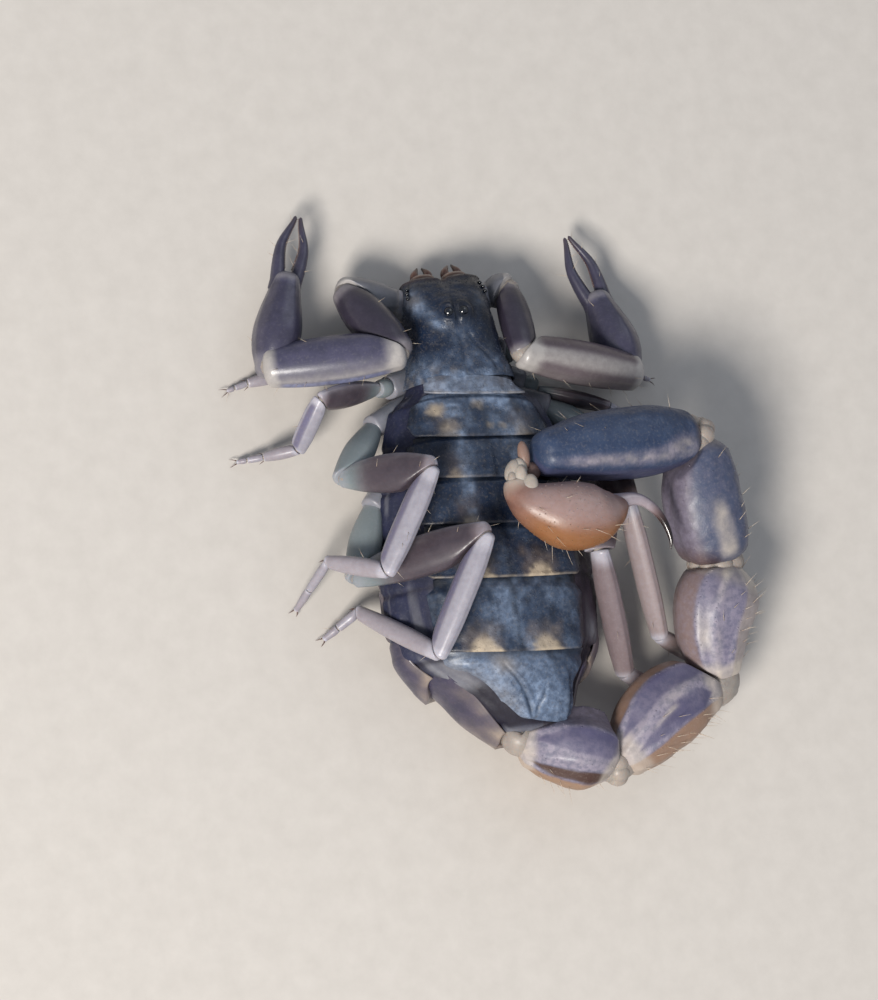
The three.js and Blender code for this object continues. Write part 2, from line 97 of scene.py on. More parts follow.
LEGS = {
    "left_1": [(-1.40, 5.50, 0.75), (-1.80, 5.45, 0.75), (-3.15, 5.25, 0.75),
               (-4.45, 5.35, 0.42), (-5.25, 5.25, 0.26), (-5.85, 5.10, 0.12)],
    "left_2": [(-1.75, 4.72, 1.00), (-2.20, 4.65, 1.25), (-3.95, 4.39, 1.90),
               (-4.40, 3.35, 0.95), (-5.15, 3.31, 0.45), (-5.85, 3.29, 0.12)],
    "left_3": [(-2.35, 3.75, 1.10), (-3.60, 2.40, 1.85), (-1.95, 2.15, 3.65),
               (-3.20, -0.15, 2.90), (-4.22, 0.38, 1.55), (-4.80, -0.62, 0.14)],
    "left_4": [(-2.65, 1.75, 1.10), (-3.45, -0.05, 1.35), (-0.85, 0.35, 3.85),
               (-2.15, -2.30, 2.85), (-3.35, -0.85, 0.75), (-4.20, -1.42, 0.14)],
    "right_1": [(1.40, 5.50, 0.75), (1.80, 5.32, 0.70), (3.10, 4.88, 0.65),
                (4.35, 4.80, 0.38), (5.15, 4.65, 0.24), (5.75, 4.45, 0.12)],
    "right_2": [(1.75, 4.60, 0.90), (2.20, 4.35, 0.90), (3.90, 3.70, 1.30),
                (4.90, 3.05, 0.80), (5.50, 2.90, 0.38), (6.10, 2.75, 0.12)],
    "right_3": [(2.25, 3.90, 1.10), (3.35, 3.05, 1.30), (3.52, 1.05, 2.62),
                (4.45, -2.30, 1.20), (5.85, -2.95, 0.30), (6.55, -2.15, 0.13)],
    "right_4": [(2.55, 3.00, 0.90), (3.45, 2.10, 0.80), (2.55, -0.15, 2.70),
                (3.50, -3.10, 0.82), (5.45, -4.30, 0.26), (6.30, -3.95, 0.13)],
}
LEG_SCALE = {"1": 0.64, "2": 0.70, "3": 0.96, "4": 1.02}
# Half depths along each part of a leg, and its width as a share of its depth.
LEG_PARTS = {
    "trochanter": ([0.24, 0.36, 0.43, 0.40, 0.32], 0.80),
    "femur": ([0.26, 0.42, 0.50, 0.48, 0.36], 0.58),
    "patella": ([0.26, 0.335, 0.345, 0.335, 0.27], 0.72),
    "tibia": ([0.20, 0.24, 0.245, 0.22, 0.17], 0.90),
    "basitarsus": ([0.115, 0.135, 0.13, 0.12], 0.92),
    "telotarsus": ([0.10, 0.115, 0.10, 0.08], 0.92),
}
PALPS = {
    "left": [(-1.28, 6.90, 0.98), (-2.65, 7.15, 1.20), (-1.93, 5.36, 2.42),
             (-4.90, 5.40, 1.40), (-4.12, 7.62, 1.00), (-3.50, 9.30, 0.85)],
    "right": [(1.18, 6.90, 0.98), (1.70, 6.95, 1.20), (1.46, 5.10, 2.30),
              (4.62, 4.50, 1.45), (4.25, 6.55, 0.80), (3.70, 8.30, 0.72)],
}
PALP_PARTS = {
    "trochanter": ([0.32, 0.44, 0.49, 0.46], 0.90),
    "femur": ([0.36, 0.50, 0.54, 0.52, 0.42], 0.86),
    "patella": ([0.46, 0.56, 0.60, 0.58, 0.50], 0.92),
}
PALM = ([0.46, 0.64, 0.70, 0.64, 0.52, 0.40], 0.84)
FINGER = {"apart": 0.22, "bow": 0.09, "base": 0.24, "tip": 0.05}

TAIL = [(0.20, -4.48, 1.40), (2.55, -5.42, 1.62), (5.60, -3.75, 1.85), (5.82, -0.72, 2.25),
        (5.36, 2.38, 3.20), (0.86, 2.24, 3.80)]
# Half depths along each tail segment, width as a share of them, degrees that its back turns
# inwards, and how far its middle line arches towards its back.
TAIL_PARTS = [([0.36, 0.75, 0.94, 0.94, 0.58], 1.05, 52, [-0.18, -0.05, 0.09, 0.15, 0.05]),
              ([0.44, 0.86, 1.06, 0.96, 0.50], 1.02, 101, [-0.05, 0.14, 0.34, 0.28, 0.0]),
              ([0.44, 0.80, 1.00, 1.08, 0.75], 1.02, 108, [0.0, 0.13, 0.16, -0.02, -0.33]),
              ([0.78, 0.95, 0.97, 0.88, 0.60], 1.02, 90, [0.0, 0.02, 0.08, 0.02, -0.10]),
              ([0.56, 0.88, 0.90, 0.80, 0.50], 1.02, 84, [-0.02, -0.04, -0.04, -0.04, 0.0])]
BULB_PATH = [(0.20, 1.66, 3.82), (0.22, 1.36, 3.84), (0.58, 0.99, 3.85), (1.34, 0.68, 3.85),
             (2.08, 0.62, 3.85), (2.58, 0.70, 3.84), (2.92, 0.83, 3.82)]
BULB_RADII = [0.30, 0.41, 0.60, 0.83, 0.76, 0.48, 0.20]
STING_PATH = [(2.66, 0.86, 3.82), (3.27, 0.91, 3.80), (3.67, 0.68, 3.77), (3.96, 0.30, 3.73),
              (4.10, -0.14, 3.68), (4.07, -0.42, 3.64)]
STING_RADII = [0.24, 0.155, 0.12, 0.095, 0.06, 0.012]

COMB = {"root": (0.30, 3.15), "tip": (1.75, 2.25), "depth": 0.42, "teeth": 17}

# ---------------------------------------------------------------- the camera


def placed(name, data):
    """A new object in the scene that holds the data."""
    obj = bpy.data.objects.new(name, data)
    bpy.context.scene.collection.objects.link(obj)
    return obj


# It looks down from the animal's left and a little from behind, and is turned about its own
# axis by the last angle. The lens is long, as in a close-up of a small animal.
LOOK_LEFT, LOOK_BACK, LOOK_TURN = (math.radians(a) for a in (20, 8, 5.4))
VIEW_HEIGHT = 25.0         # height of the view at the animal
LENS, SENSOR = 160.0, 36.0
AIM = (-0.75, 1.80, 2.0)   # the point looked at: right, up and towards the camera from the frame's origin

towards = Vector((-math.tan(LOOK_LEFT), -math.tan(LOOK_BACK), 1)).normalized()
level = (Vector((1, 0, 0)) - towards * towards.x).normalized()
upright = towards.cross(level)
view_right = math.cos(LOOK_TURN) * level - math.sin(LOOK_TURN) * upright
view_up = math.sin(LOOK_TURN) * level + math.cos(LOOK_TURN) * upright
aim = Vector(SHIFT) + AIM[0] * view_right + AIM[1] * view_up + AIM[2] * towards

camera_data = bpy.data.cameras.new("camera")
camera_data.lens, camera_data.sensor_width = LENS, SENSOR
camera_data.clip_start, camera_data.clip_end = 0.005, 5.0
camera = placed("camera", camera_data)
place = (aim + towards * VIEW_HEIGHT * LENS / SENSOR) * MM
turned_to_view = Matrix((view_right, view_up, towards)).transposed().to_4x4()
camera.matrix_world = Matrix.Translation(place) @ turned_to_view
bpy.context.scene.camera = camera

# ---------------------------------------------------------------- numbers and curves


def smooth(value, low, high):
    """0 below `low`, 1 above `high` and an S-curve between; `low` may be the larger."""
    t = np.clip((np.asarray(value, float) - low) / (high - low), 0, 1)
    return t * t * (3 - 2 * t)


def hump(value, middle, reach):
    """A bell curve, 1 at the middle and about a third at its reach."""
    return np.exp(-((np.asarray(value, float) - middle) / reach) ** 2)


def between(value, low, high, edge):
    """1 between the two places and 0 outside them, with soft edges."""
    return smooth(value, low - edge, low + edge) * smooth(value, high + edge, high - edge)


def rise_and_fall(value, starts, full, fades, ends):
    """Climbs from 0 at `starts` to 1 at `full`, and falls from `fades` to 0 again at `ends`."""
    return smooth(value, starts, full) * smooth(value, ends, fades)


def blot(x, y, middle, reach):
    """An oval bell curve on a surface, 1 at its middle."""
    return np.exp(-(((x - middle[0]) / reach[0]) ** 2 + ((y - middle[1]) / reach[1]) ** 2))


def through(knots, share):
    """A smooth curve through evenly spaced knots, at shares 0 to 1 of the way."""
    knots = np.asarray(knots, float)
    share = np.clip(np.asarray(share, float), 0, 1) * (len(knots) - 1)
    i = np.minimum(share.astype(int), len(knots) - 2)
    f = (share - i).reshape(share.shape + (1,) * (knots.ndim - 1))
    ends = np.concatenate([[2 * knots[0] - knots[1]], knots, [2 * knots[-1] - knots[-2]]])
    a, b, c, d = (ends[i + k] for k in range(4))
    return b + 0.5 * f * (c - a + f * (2 * a - 5 * b + 4 * c - d + f * (3 * b - a - 3 * c + d)))


def flow(x, knots, values):
    """A curve through unevenly spaced knots that never swings past its values."""
    step, slope = np.diff(knots), np.diff(values) / np.diff(knots)
    lean_in = np.zeros(len(knots))
    lean_in[[0, -1]] = slope[[0, -1]]
    same_way = slope[:-1] * slope[1:] > 0
    both = np.where(same_way, slope[:-1] + slope[1:], 1)
    lean_in[1:-1] = np.where(same_way, 2 * slope[:-1] * slope[1:] / both, 0)
    x = np.clip(x, knots[0], knots[-1])
    i = np.clip(np.searchsorted(knots, x) - 1, 0, len(step) - 1)
    t, h = (x - knots[i]) / step[i], step[i]
    return ((1 + 2 * t) * (1 - t) ** 2 * values[i] + t * t * (3 - 2 * t) * values[i + 1]
            + h * t * (1 - t) * ((1 - t) * lean_in[i] - t * lean_in[i + 1]))


def unit(vectors):
    vectors = np.asarray(vectors, float)
    return vectors / np.maximum(np.linalg.norm(vectors, axis=-1, keepdims=True), 1e-9)


def grain(points, size, seed=0):
    """Smooth noise from -1 to 1 whose lumps are about `size` across."""
    cell = np.asarray(points, float) / size
    low = np.floor(cell).astype(np.int64)
    f = cell - low
    f = f * f * (3 - 2 * f)
    total = 0.0
    for corner in product((0, 1), repeat=3):
        key = (low + corner) @ np.array([73856093, 19349663, 83492791]) + seed * 9176
        key = (key ^ (key >> 13)) * 1274126177 & 0x7FFFFFFF
        key = (key ^ (key >> 15)) * 668265263 & 0x7FFFFFFF
        weight = np.prod(np.where(corner, f, 1 - f), axis=-1)
        total = total + weight * ((key >> 8 & 0xFFFF) / 32767.5 - 1)
    return total


# ---------------------------------------------------------------- meshes

MARKS = ("pale", "dark", "warm", "green", "haze", "grain", "hairy", "pitted")
ATLAS = 16                 # surfaces that may grow bristles share a map of 16 by 16 cells
CELL_MARGIN = 0.02         # share of a cell left free at each edge
atlas_cells = iter(range(ATLAS * ATLAS))


def store(mesh, name, values):
    """Keeps a number or a vector at each point of a mesh."""
    values = np.asarray(values, np.float32)
    kind, field = ("FLOAT", "value") if values.ndim == 1 else ("FLOAT_VECTOR", "vector")
    mesh.attributes.new(name, kind, "POINT").data.foreach_set(field, values.ravel())


def map_cell(across, down):
    """Places on the shared map, in a cell of their own."""
    cell = next(atlas_cells)
    inside = np.stack([across, down], 1) * (1 - 2 * CELL_MARGIN) + CELL_MARGIN
    return (inside + (cell % ATLAS, cell // ATLAS)) / ATLAS


class Shape:
    """Grids of points gathered into one mesh, with the marks that its finish reads."""

    def __init__(self):
        self.points, self.quads, self.tris, self.marks, self.lie, self.root = [], [], [], [], [], []
        self.count = 0

    def _take(self, points, marks, lie, root):
        rows = [np.broadcast_to(marks.get(name, 0.0), len(points)) for name in MARKS]
        self.points.append(points)
        self.marks.append(np.stack(rows, 1))
        self.lie.append(np.broadcast_to(lie, points.shape))
        self.root.append(root)
        self.count += len(points)

    def grid(self, rows, marks=None, lie=(0, 0, 0)):
        """A tube through rings of points, closed round each ring and capped at both ends.
        Rings run so that the next ring's direction, outwards and onwards make a right hand."""
        n, m, _ = rows.shape
        start = self.count
        poles = np.array([rows[0].mean(0), rows[-1].mean(0)])
        flat = {k: np.broadcast_to(v, (n, m)).reshape(-1) for k, v in (marks or {}).items()}
        ends = {k: np.append(v, [v[0], v[-1]]) for k, v in flat.items()}
        u, v = np.meshgrid(np.arange(m) / m, np.linspace(0, 1, n))
        root = map_cell(np.append(u.ravel(), [0.5, 0.5]), np.append(v.ravel(), [0, 1]))
        lie = np.broadcast_to(lie, rows.shape).reshape(-1, 3)
        lie = np.concatenate([lie, lie[:1], lie[-1:]])
        self._take(np.concatenate([rows.reshape(-1, 3), poles]), ends, lie, root)
        i, j = np.meshgrid(np.arange(n - 1), np.arange(m), indexing="ij")
        a, b = start + i * m + j, start + i * m + (j + 1) % m
        self.quads.append(np.stack([a, b, b + m, a + m], -1).reshape(-1, 4))
        first = start + np.arange(m)
        last = first + (n - 1) * m
        self.tris.append(np.stack([np.full(m, start + n * m), np.roll(first, -1), first], -1))
        self.tris.append(np.stack([np.full(m, start + n * m + 1), last, np.roll(last, -1)], -1))

    def sheet(self, top, bottom, marks, lie=(0, 0, 0)):
        """A closed plate between two grids of the same size."""
        n, m, _ = top.shape
        start = self.count
        flat = {k: np.broadcast_to(v, (n, m)).reshape(-1) for k, v in marks.items()}
        both = {k: np.concatenate([v, v * (k not in ("hairy", "grain"))]) for k, v in flat.items()}
        u, v = np.meshgrid(np.linspace(0, 1, m), np.linspace(0, 1, n))
        root = map_cell(u.ravel(), v.ravel())
        lie = np.broadcast_to(lie, top.shape).reshape(-1, 3)
        self._take(np.concatenate([top.reshape(-1, 3), bottom.reshape(-1, 3)]), both,
                   np.concatenate([lie, lie]), np.concatenate([root, root]))
        i, j = np.meshgrid(np.arange(n - 1), np.arange(m - 1), indexing="ij")
        a = (start + i * m + j).reshape(-1)
        upper = np.stack([a, a + m, a + m + 1, a + 1], -1)
        self.quads.append(upper)
        self.quads.append(upper[:, ::-1] + n * m)
        rim = np.concatenate([np.arange(m), np.arange(1, n) * m + m - 1,
                              (n - 1) * m + np.arange(m - 2, -1, -1), np.arange(n - 2, 0, -1) * m])
        rim, following = start + rim, start + np.roll(rim, -1)
        self.quads.append(np.stack([rim, following, following + n * m, rim + n * m], -1))

    def merge(self, others):
        """Takes in copies of other shapes."""
        for other in others:
            self.quads += [q + self.count for q in other.quads]
            self.tris += [t + self.count for t in other.tris]
            for name in ("points", "marks", "lie", "root"):
                getattr(self, name).extend(getattr(other, name))
            self.count += other.count
        return self

    def keep_above_floor(self):
        for rows in self.points:
            rows[:, 2] = np.maximum(rows[:, 2], FLOOR_GAP)

    def build(self, name, material):
        points = (np.concatenate(self.points) + SHIFT) * MM
        quads = np.concatenate(self.quads)
        tris = np.concatenate(self.tris) if self.tris else np.zeros((0, 3), int)
        mesh = bpy.data.meshes.new(name)
        mesh.vertices.add(len(points))
        mesh.vertices.foreach_set("co", points.astype(np.float32).ravel())
        corners = np.concatenate([quads.ravel(), tris.ravel()]).astype(np.int32)
        mesh.loops.add(len(corners))
        mesh.loops.foreach_set("vertex_index", corners)
        starts = np.concatenate([np.arange(len(quads)) * 4, len(quads) * 4 + np.arange(len(tris)) * 3])
        mesh.polygons.add(len(starts))
        mesh.polygons.foreach_set("loop_start", starts.astype(np.int32))
        mesh.update(calc_edges=True)
        mesh.shade_smooth()
        marks = np.clip(np.concatenate(self.marks), 0, 1)
        for k, mark in enumerate(MARKS):
            store(mesh, mark, marks[:, k])
        store(mesh, "lie", np.concatenate(self.lie))
        root = np.concatenate(self.root)
        store(mesh, "root_place", np.column_stack([root, np.zeros(len(root))]))
        mesh.materials.append(material)
        return placed(name, mesh)


def press(points, joint, normal, gap):
    """Pushes points back onto a plane where they cross it, with a soft edge."""
    away = (points - joint) @ normal - gap
    soft = 0.02
    over = np.logaddexp(0, -away / soft) * soft
    return points + over[..., None] * normal


def sweep(shape, path, depth, width, up, sides=40, power=2.0, relief=None, marks=None, presses=()):
    """A closed tube along a path. `depth` and `width` are half sizes along `up` and across it;
    `relief` and `marks` are functions of the share of the way and the angle from `up`."""
    path = np.asarray(path, float)
    along = unit(np.gradient(path, axis=0))
    across = unit(np.cross(along, np.broadcast_to(up, path.shape)))
    deep = np.cross(across, along)
    steps = np.concatenate([[0], np.cumsum(np.linalg.norm(np.diff(path, axis=0), axis=1))])
    share = (steps / steps[-1])[:, None]
    angle = (2 * np.pi * np.arange(sides) / sides)[None, :]
    c, s = np.cos(angle), np.sin(angle)
    swell = (np.abs(c) ** power + np.abs(s) ** power) ** (-1 / power)
    extra = relief(share, angle) if relief else 0.0
    far_deep = (depth[:, None] * swell + extra) * c
    far_across = (width[:, None] * swell + extra) * s
    rows = path[:, None] + far_deep[..., None] * deep[:, None] + far_across[..., None] * across[:, None]
    for joint, normal, gap in presses:
        rows = press(rows, np.array(joint), normal, gap)
    held = {k: (v(share, angle) if callable(v) else v) for k, v in (marks or {}).items()}
    shape.grid(rows, held, np.repeat(along[:, None], sides, 1))


DOME_RINGS = 9             # rings of points in a segment's domed end
DOME_START = math.radians(86)
DOME_FULLNESS = 0.72       # below 1 the domes are fuller than round


def segment(shape, a, b, sizes, wide, up, before=None, after=None, sides=40, step=0.05, power=2.2,
            relief=None, marks=None, reach=0.5, gap=0.03, far_end=1, trim=(0, 0), arch=(0, 0)):
    """A shell from joint a to joint b with domed ends, pressed flat against its neighbours'.
    The domes start `trim` before the joints and reach out by `reach` times the end's size, the
    far one by `far_end` times that. `arch` shifts the middle line towards `up`. `relief` and
    `marks` read the share of the way from a to b and the angle from `up`."""
    a, b = np.array(a, float), np.array(b, float)
    length = np.linalg.norm(b - a)
    along = (b - a) / length
    turn = np.linspace(DOME_START, 0, DOME_RINGS)
    middle = np.linspace(trim[0], length - trim[1], max(6, int(length / step)))[1:-1]
    near, far = sizes[0] * reach, sizes[-1] * reach * far_end
    x = np.concatenate([trim[0] - near * np.sin(turn), middle, length - trim[1] + far * np.sin(turn[::-1])])
    dome = np.concatenate([np.cos(turn), np.ones(len(middle)), np.cos(turn[::-1])]) ** DOME_FULLNESS
    size = through(sizes, x / length) * dome
    presses = []
    if before is not None:
        presses.append((a, -unit(unit(a - b) + unit(np.array(before) - a)), gap))
    if after is not None:
        presses.append((b, -unit(unit(b - a) + unit(np.array(after) - b)), gap))
    near, whole = near - trim[0], length + near + far - sum(trim)

    def on_segment(function):
        return lambda share, angle: function((share * whole - near) / length, angle)

    def carve(share, angle):
        return on_segment(relief)(share, angle) * rise_and_fall(share, 0.0, 0.10, 0.90, 1.0)

    held = {k: (on_segment(v) if callable(v) else v) for k, v in (marks or {}).items()}
    rise = unit(up - along * (np.array(up, float) @ along))
    path = a + x[:, None] * along + through(arch, x / length)[:, None] * rise
    sweep(shape, path, size, size * wide, up, sides, power, carve if relief else None, held, presses)


def turned(angle, at):
    """Signed difference between an angle and a place in degrees, in degrees."""
    return (np.degrees(angle) - at + 180) % 360 - 180


def finish_piece(obj, slot, *nodes):
    """Hangs the piece on the root body and hides the solids that it stands for; `slot` is not used."""
    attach(obj, "root")
    if nodes:
        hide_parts(*nodes)


# ---------------------------------------------------------------- node trees


def add(tree, kind, inputs=None, **settings):
    """Adds a node with its settings. An input takes a number, a socket or a node's first output."""
    made = tree.nodes.new(kind)
    for name, value in settings.items():
        setattr(made, name, value)
    for name, value in (inputs or {}).items():
        source = value.outputs[0] if isinstance(value, bpy.types.Node) else value
        if isinstance(source, bpy.types.NodeSocket):
            tree.links.new(source, made.inputs[name])
        else:
            made.inputs[name].default_value = source
    return made


def colour(code):
    """An sRGB hex value as linear red, green, blue and alpha."""
    parts = [int(code[k:k + 2], 16) / 255 for k in (1, 3, 5)]
    return (*[p / 12.92 if p <= 0.04045 else ((p + 0.055) / 1.055) ** 2.4 for p in parts], 1.0)


FLOAT, WHOLE, MATERIAL = "NodeSocketFloat", "NodeSocketInt", "NodeSocketMaterial"


def tree_with(name, **sockets):
    """A geometry node tree with named inputs and one mesh output."""
    tree = bpy.data.node_groups.new(name, "GeometryNodeTree")
    tree.interface.new_socket("Mesh", in_out="INPUT", socket_type="NodeSocketGeometry")
    tree.interface.new_socket("Mesh", in_out="OUTPUT", socket_type="NodeSocketGeometry")
    for label, kind in sockets.items():
        tree.interface.new_socket(label, in_out="INPUT", socket_type=kind)
    return tree, add(tree, "NodeGroupInput").outputs


def close_tree(tree, given, geometry):
    """Ends a tree: its geometry is made real and shaded smooth, and takes the finish."""
    real = add(tree, "GeometryNodeRealizeInstances", {"Geometry": geometry})
    rounded = add(tree, "GeometryNodeSetShadeSmooth", {"Geometry": real})
    done = add(tree, "GeometryNodeSetMaterial", {"Geometry": rounded, "Material": given["Finish"]})
    add(tree, "NodeGroupOutput", {"Mesh": done})
    return tree


def grown(obj, tree, **values):
    """Runs a node tree on an object and returns the plain mesh that it makes."""
    modifier = obj.modifiers.new(tree.name, "NODES")
    modifier.node_group = tree
    for item in tree.interface.items_tree:
        if item.in_out == "INPUT" and item.name in values:
            modifier[item.identifier] = values[item.name]
    graph = bpy.context.evaluated_depsgraph_get()
    mesh = bpy.data.meshes.new_from_object(obj.evaluated_get(graph), preserve_all_data_layers=True,
                                           depsgraph=graph)
    obj.modifiers.remove(modifier)
    return mesh


def marked(tree, name, kind="FLOAT"):
    return add(tree, "GeometryNodeInputNamedAttribute", {"Name": name}, data_type=kind)


def scatter(tree, given, mark, densest):
    """Points spread over the surface wherever the mark is set, `Spacing` apart or more."""
    return add(tree, "GeometryNodeDistributePointsOnFaces", {
        "Mesh": given["Mesh"], "Distance Min": given["Spacing"], "Density Max": densest,
        "Density Factor": mark, "Seed": given["Seed"]}, distribute_method="POISSON")


# Points tried on each square metre, far more than fit.
GRANULES_TRIED, BRISTLES_TRIED = 4.0e8, 2.0e7


def granule_tree():
    """Seats low domed granules wherever the mark `grain` is set, and keeps the surface."""
    tree, given = tree_with("granulation", Spacing=FLOAT, Smallest=FLOAT, Largest=FLOAT, Height=FLOAT,
                            Seed=WHOLE, Finish=MATERIAL)
    spots = scatter(tree, given, marked(tree, "grain"), GRANULES_TRIED)
    size = add(tree, "FunctionNodeRandomValue", {
        "Min": given["Smallest"], "Max": given["Largest"], "Seed": given["Seed"]}, data_type="FLOAT")
    bead = add(tree, "GeometryNodeMeshUVSphere", {"Segments": 6, "Rings": 4, "Radius": 1.0})
    tall = add(tree, "ShaderNodeCombineXYZ", {"X": 1.0, "Y": 1.0, "Z": given["Height"]})
    low = add(tree, "GeometryNodeTransform", {"Geometry": bead, "Scale": tall})
    seated = add(tree, "GeometryNodeInstanceOnPoints", {
        "Points": spots, "Instance": low, "Rotation": spots.outputs["Rotation"],
        "Scale": size.outputs[1]})
    both = add(tree, "GeometryNodeJoinGeometry", {
        0: add(tree, "GeometryNodeRealizeInstances", {"Geometry": seated})})
    tree.links.new(given["Mesh"], both.inputs[0])
    return close_tree(tree, given, both)


def pit_tree():
    """Sinks round pits into the surface wherever the mark `pitted` is set."""
    tree, given = tree_with("pitting", Spacing=FLOAT, Radius=FLOAT, Depth=FLOAT, Seed=WHOLE,
                            Finish=MATERIAL)
    mark = marked(tree, "pitted")
    near = add(tree, "GeometryNodeProximity", {
        "Geometry": scatter(tree, given, mark, GRANULES_TRIED)}, target_element="POINTS")
    hollow = add(tree, "ShaderNodeMapRange", {
        "Value": near.outputs["Distance"], "From Min": given["Radius"], "From Max": 0.0,
        "To Min": 0.0, "To Max": given["Depth"]}, interpolation_type="SMOOTHSTEP")
    fade = add(tree, "ShaderNodeMath", {0: hollow, 1: mark}, operation="MULTIPLY")
    inwards = add(tree, "ShaderNodeMath", {0: fade, 1: -1.0}, operation="MULTIPLY")
    push = add(tree, "ShaderNodeVectorMath", {
        0: add(tree, "GeometryNodeInputNormal"), "Scale": inwards}, operation="SCALE")
    return close_tree(tree, given, add(tree, "GeometryNodeSetPosition", {
        "Geometry": given["Mesh"], "Offset": push}))


# Bristles: how far they lean the way of the surface and stray from it, how much they bend, and
# the size of each one's patch on the map.
LEAN_ON, STRAY, BEND, PATCH = 0.75, 0.35, 2.2, (0.003, 0.0012)


def bristle_tree():
    """Grows short stiff bristles wherever the mark `hairy` is set, leaning the way `lie` says.
    Each one's patch on the map lies at its root's place."""
    tree, given = tree_with("bristles", Spacing=FLOAT, Shortest=FLOAT, Longest=FLOAT, Thickness=FLOAT,
                            Seed=WHOLE, Finish=MATERIAL)
    spots = scatter(tree, given, marked(tree, "hairy"), BRISTLES_TRIED)
    stray = add(tree, "FunctionNodeRandomValue", {
        "Min": (-STRAY,) * 3, "Max": (STRAY,) * 3, "Seed": given["Seed"]}, data_type="FLOAT_VECTOR")
    lean_on = add(tree, "ShaderNodeVectorMath", {
        0: marked(tree, "lie", "FLOAT_VECTOR"), "Scale": LEAN_ON}, operation="SCALE")
    way = add(tree, "ShaderNodeVectorMath", {0: spots.outputs["Normal"], 1: lean_on}, operation="ADD")
    way = add(tree, "ShaderNodeVectorMath", {0: way, 1: stray}, operation="ADD")
    aimed = add(tree, "FunctionNodeAlignRotationToVector", {"Vector": way}, axis="Z")
    cone = add(tree, "GeometryNodeMeshCone", {
        "Vertices": 5, "Side Segments": 4, "Radius Top": 0.12, "Radius Bottom": 1.0, "Depth": 1.0},
        fill_type="TRIANGLE_FAN")
    place = add(tree, "ShaderNodeSeparateXYZ", {"Vector": add(tree, "GeometryNodeInputPosition")})
    arc = add(tree, "ShaderNodeMath", {0: place.outputs["Z"], 1: 2.0}, operation="POWER")
    bent = add(tree, "ShaderNodeMath", {0: arc, 1: BEND}, operation="MULTIPLY")
    shape = add(tree, "GeometryNodeSetPosition", {
        "Geometry": cone, "Offset": add(tree, "ShaderNodeCombineXYZ", {"X": bent})})
    kept = add(tree, "GeometryNodeStoreNamedAttribute", {
        "Geometry": shape, "Name": "up_bristle", "Value": place.outputs["Z"]},
        data_type="FLOAT", domain="POINT")
    long = add(tree, "FunctionNodeRandomValue", {
        "Min": given["Shortest"], "Max": given["Longest"], "Seed": given["Seed"]}, data_type="FLOAT")
    size = add(tree, "ShaderNodeCombineXYZ", {
        "X": given["Thickness"], "Y": given["Thickness"], "Z": long.outputs[1]})
    seated = add(tree, "GeometryNodeInstanceOnPoints", {
        "Points": spots, "Instance": kept, "Rotation": aimed, "Scale": size})
    up = marked(tree, "up_bristle")
    patch = add(tree, "ShaderNodeCombineXYZ", {
        axis: add(tree, "ShaderNodeMath", {0: up, 1: size}, operation="MULTIPLY")
        for axis, size in zip("XY", PATCH)})
    spot = add(tree, "ShaderNodeVectorMath", {
        0: marked(tree, "root_place", "FLOAT_VECTOR"), 1: patch}, operation="ADD")
    return close_tree(tree, given, add(tree, "GeometryNodeStoreNamedAttribute", {
        "Geometry": add(tree, "GeometryNodeRealizeInstances", {"Geometry": seated}),
        "Name": "OFBake", "Value": spot}, data_type="FLOAT2", domain="CORNER"))


def row_tree():
    """Seats a row of blunt teeth on points, each as big as the mark `size` and along `way`."""
    tree, given = tree_with("tooth_row", Across=FLOAT, Along=FLOAT, Thick=FLOAT, Finish=MATERIAL)
    aimed = add(tree, "FunctionNodeAlignRotationToVector", {
        "Vector": marked(tree, "way", "FLOAT_VECTOR")}, axis="Y")
    bead = add(tree, "GeometryNodeMeshUVSphere", {"Segments": 10, "Rings": 8, "Radius": 1.0})
    form = add(tree, "ShaderNodeCombineXYZ", {
        "X": given["Across"], "Y": given["Along"], "Z": given["Thick"]})
    return close_tree(tree, given, add(tree, "GeometryNodeInstanceOnPoints", {
        "Points": given["Mesh"], "Rotation": aimed, "Scale": marked(tree, "size"),
        "Instance": add(tree, "GeometryNodeTransform", {"Geometry": bead, "Scale": form})}))


granulation, pitting, bristling, tooth_row = granule_tree(), pit_tree(), bristle_tree(), row_tree()


def granulate(obj, spacing, smallest, largest, seed, height=0.55):
    obj.data = grown(obj, granulation, Spacing=spacing * MM, Smallest=smallest * MM,
                     Largest=largest * MM, Height=height, Seed=seed, Finish=obj.data.materials[0])
    return obj


def teeth(name, points, ways, sizes, form, material):
    """A row of teeth at points, each turned along its way."""
    mesh = bpy.data.meshes.new(name)
    mesh.from_pydata([tuple(p) for p in (np.array(points) + SHIFT) * MM], [], [])
    store(mesh, "way", ways)
    store(mesh, "size", sizes)
    obj = placed(name, mesh)
    across, along, thick = (v * MM for v in form)
    obj.data = grown(obj, tooth_row, Across=across, Along=along, Thick=thick, Finish=material)
    return obj


# ---------------------------------------------------------------- finishes


def new_material(name):
    """A material with one surface shader, its node tree and the place on the object."""
    material = bpy.data.materials.new(name)
    material.use_nodes = True
    tree = material.node_tree
    tree.nodes.clear()
    shader = add(tree, "ShaderNodeBsdfPrincipled")
    add(tree, "ShaderNodeOutputMaterial", {"Surface": shader})
    return material, tree, shader, add(tree, "ShaderNodeTexCoord").outputs["Object"]


def constants(shader, **values):
    for name, value in values.items():
        shader.inputs[name.replace("_", " ")].default_value = value


def blend(tree, share, first, second):
    """Mixes two colours; each may be a hex value or a socket."""
    first, second = (colour(c) if isinstance(c, str) else c for c in (first, second))
    return add(tree, "ShaderNodeMix", {0: share, 6: first, 7: second}, data_type="RGBA").outputs[2]


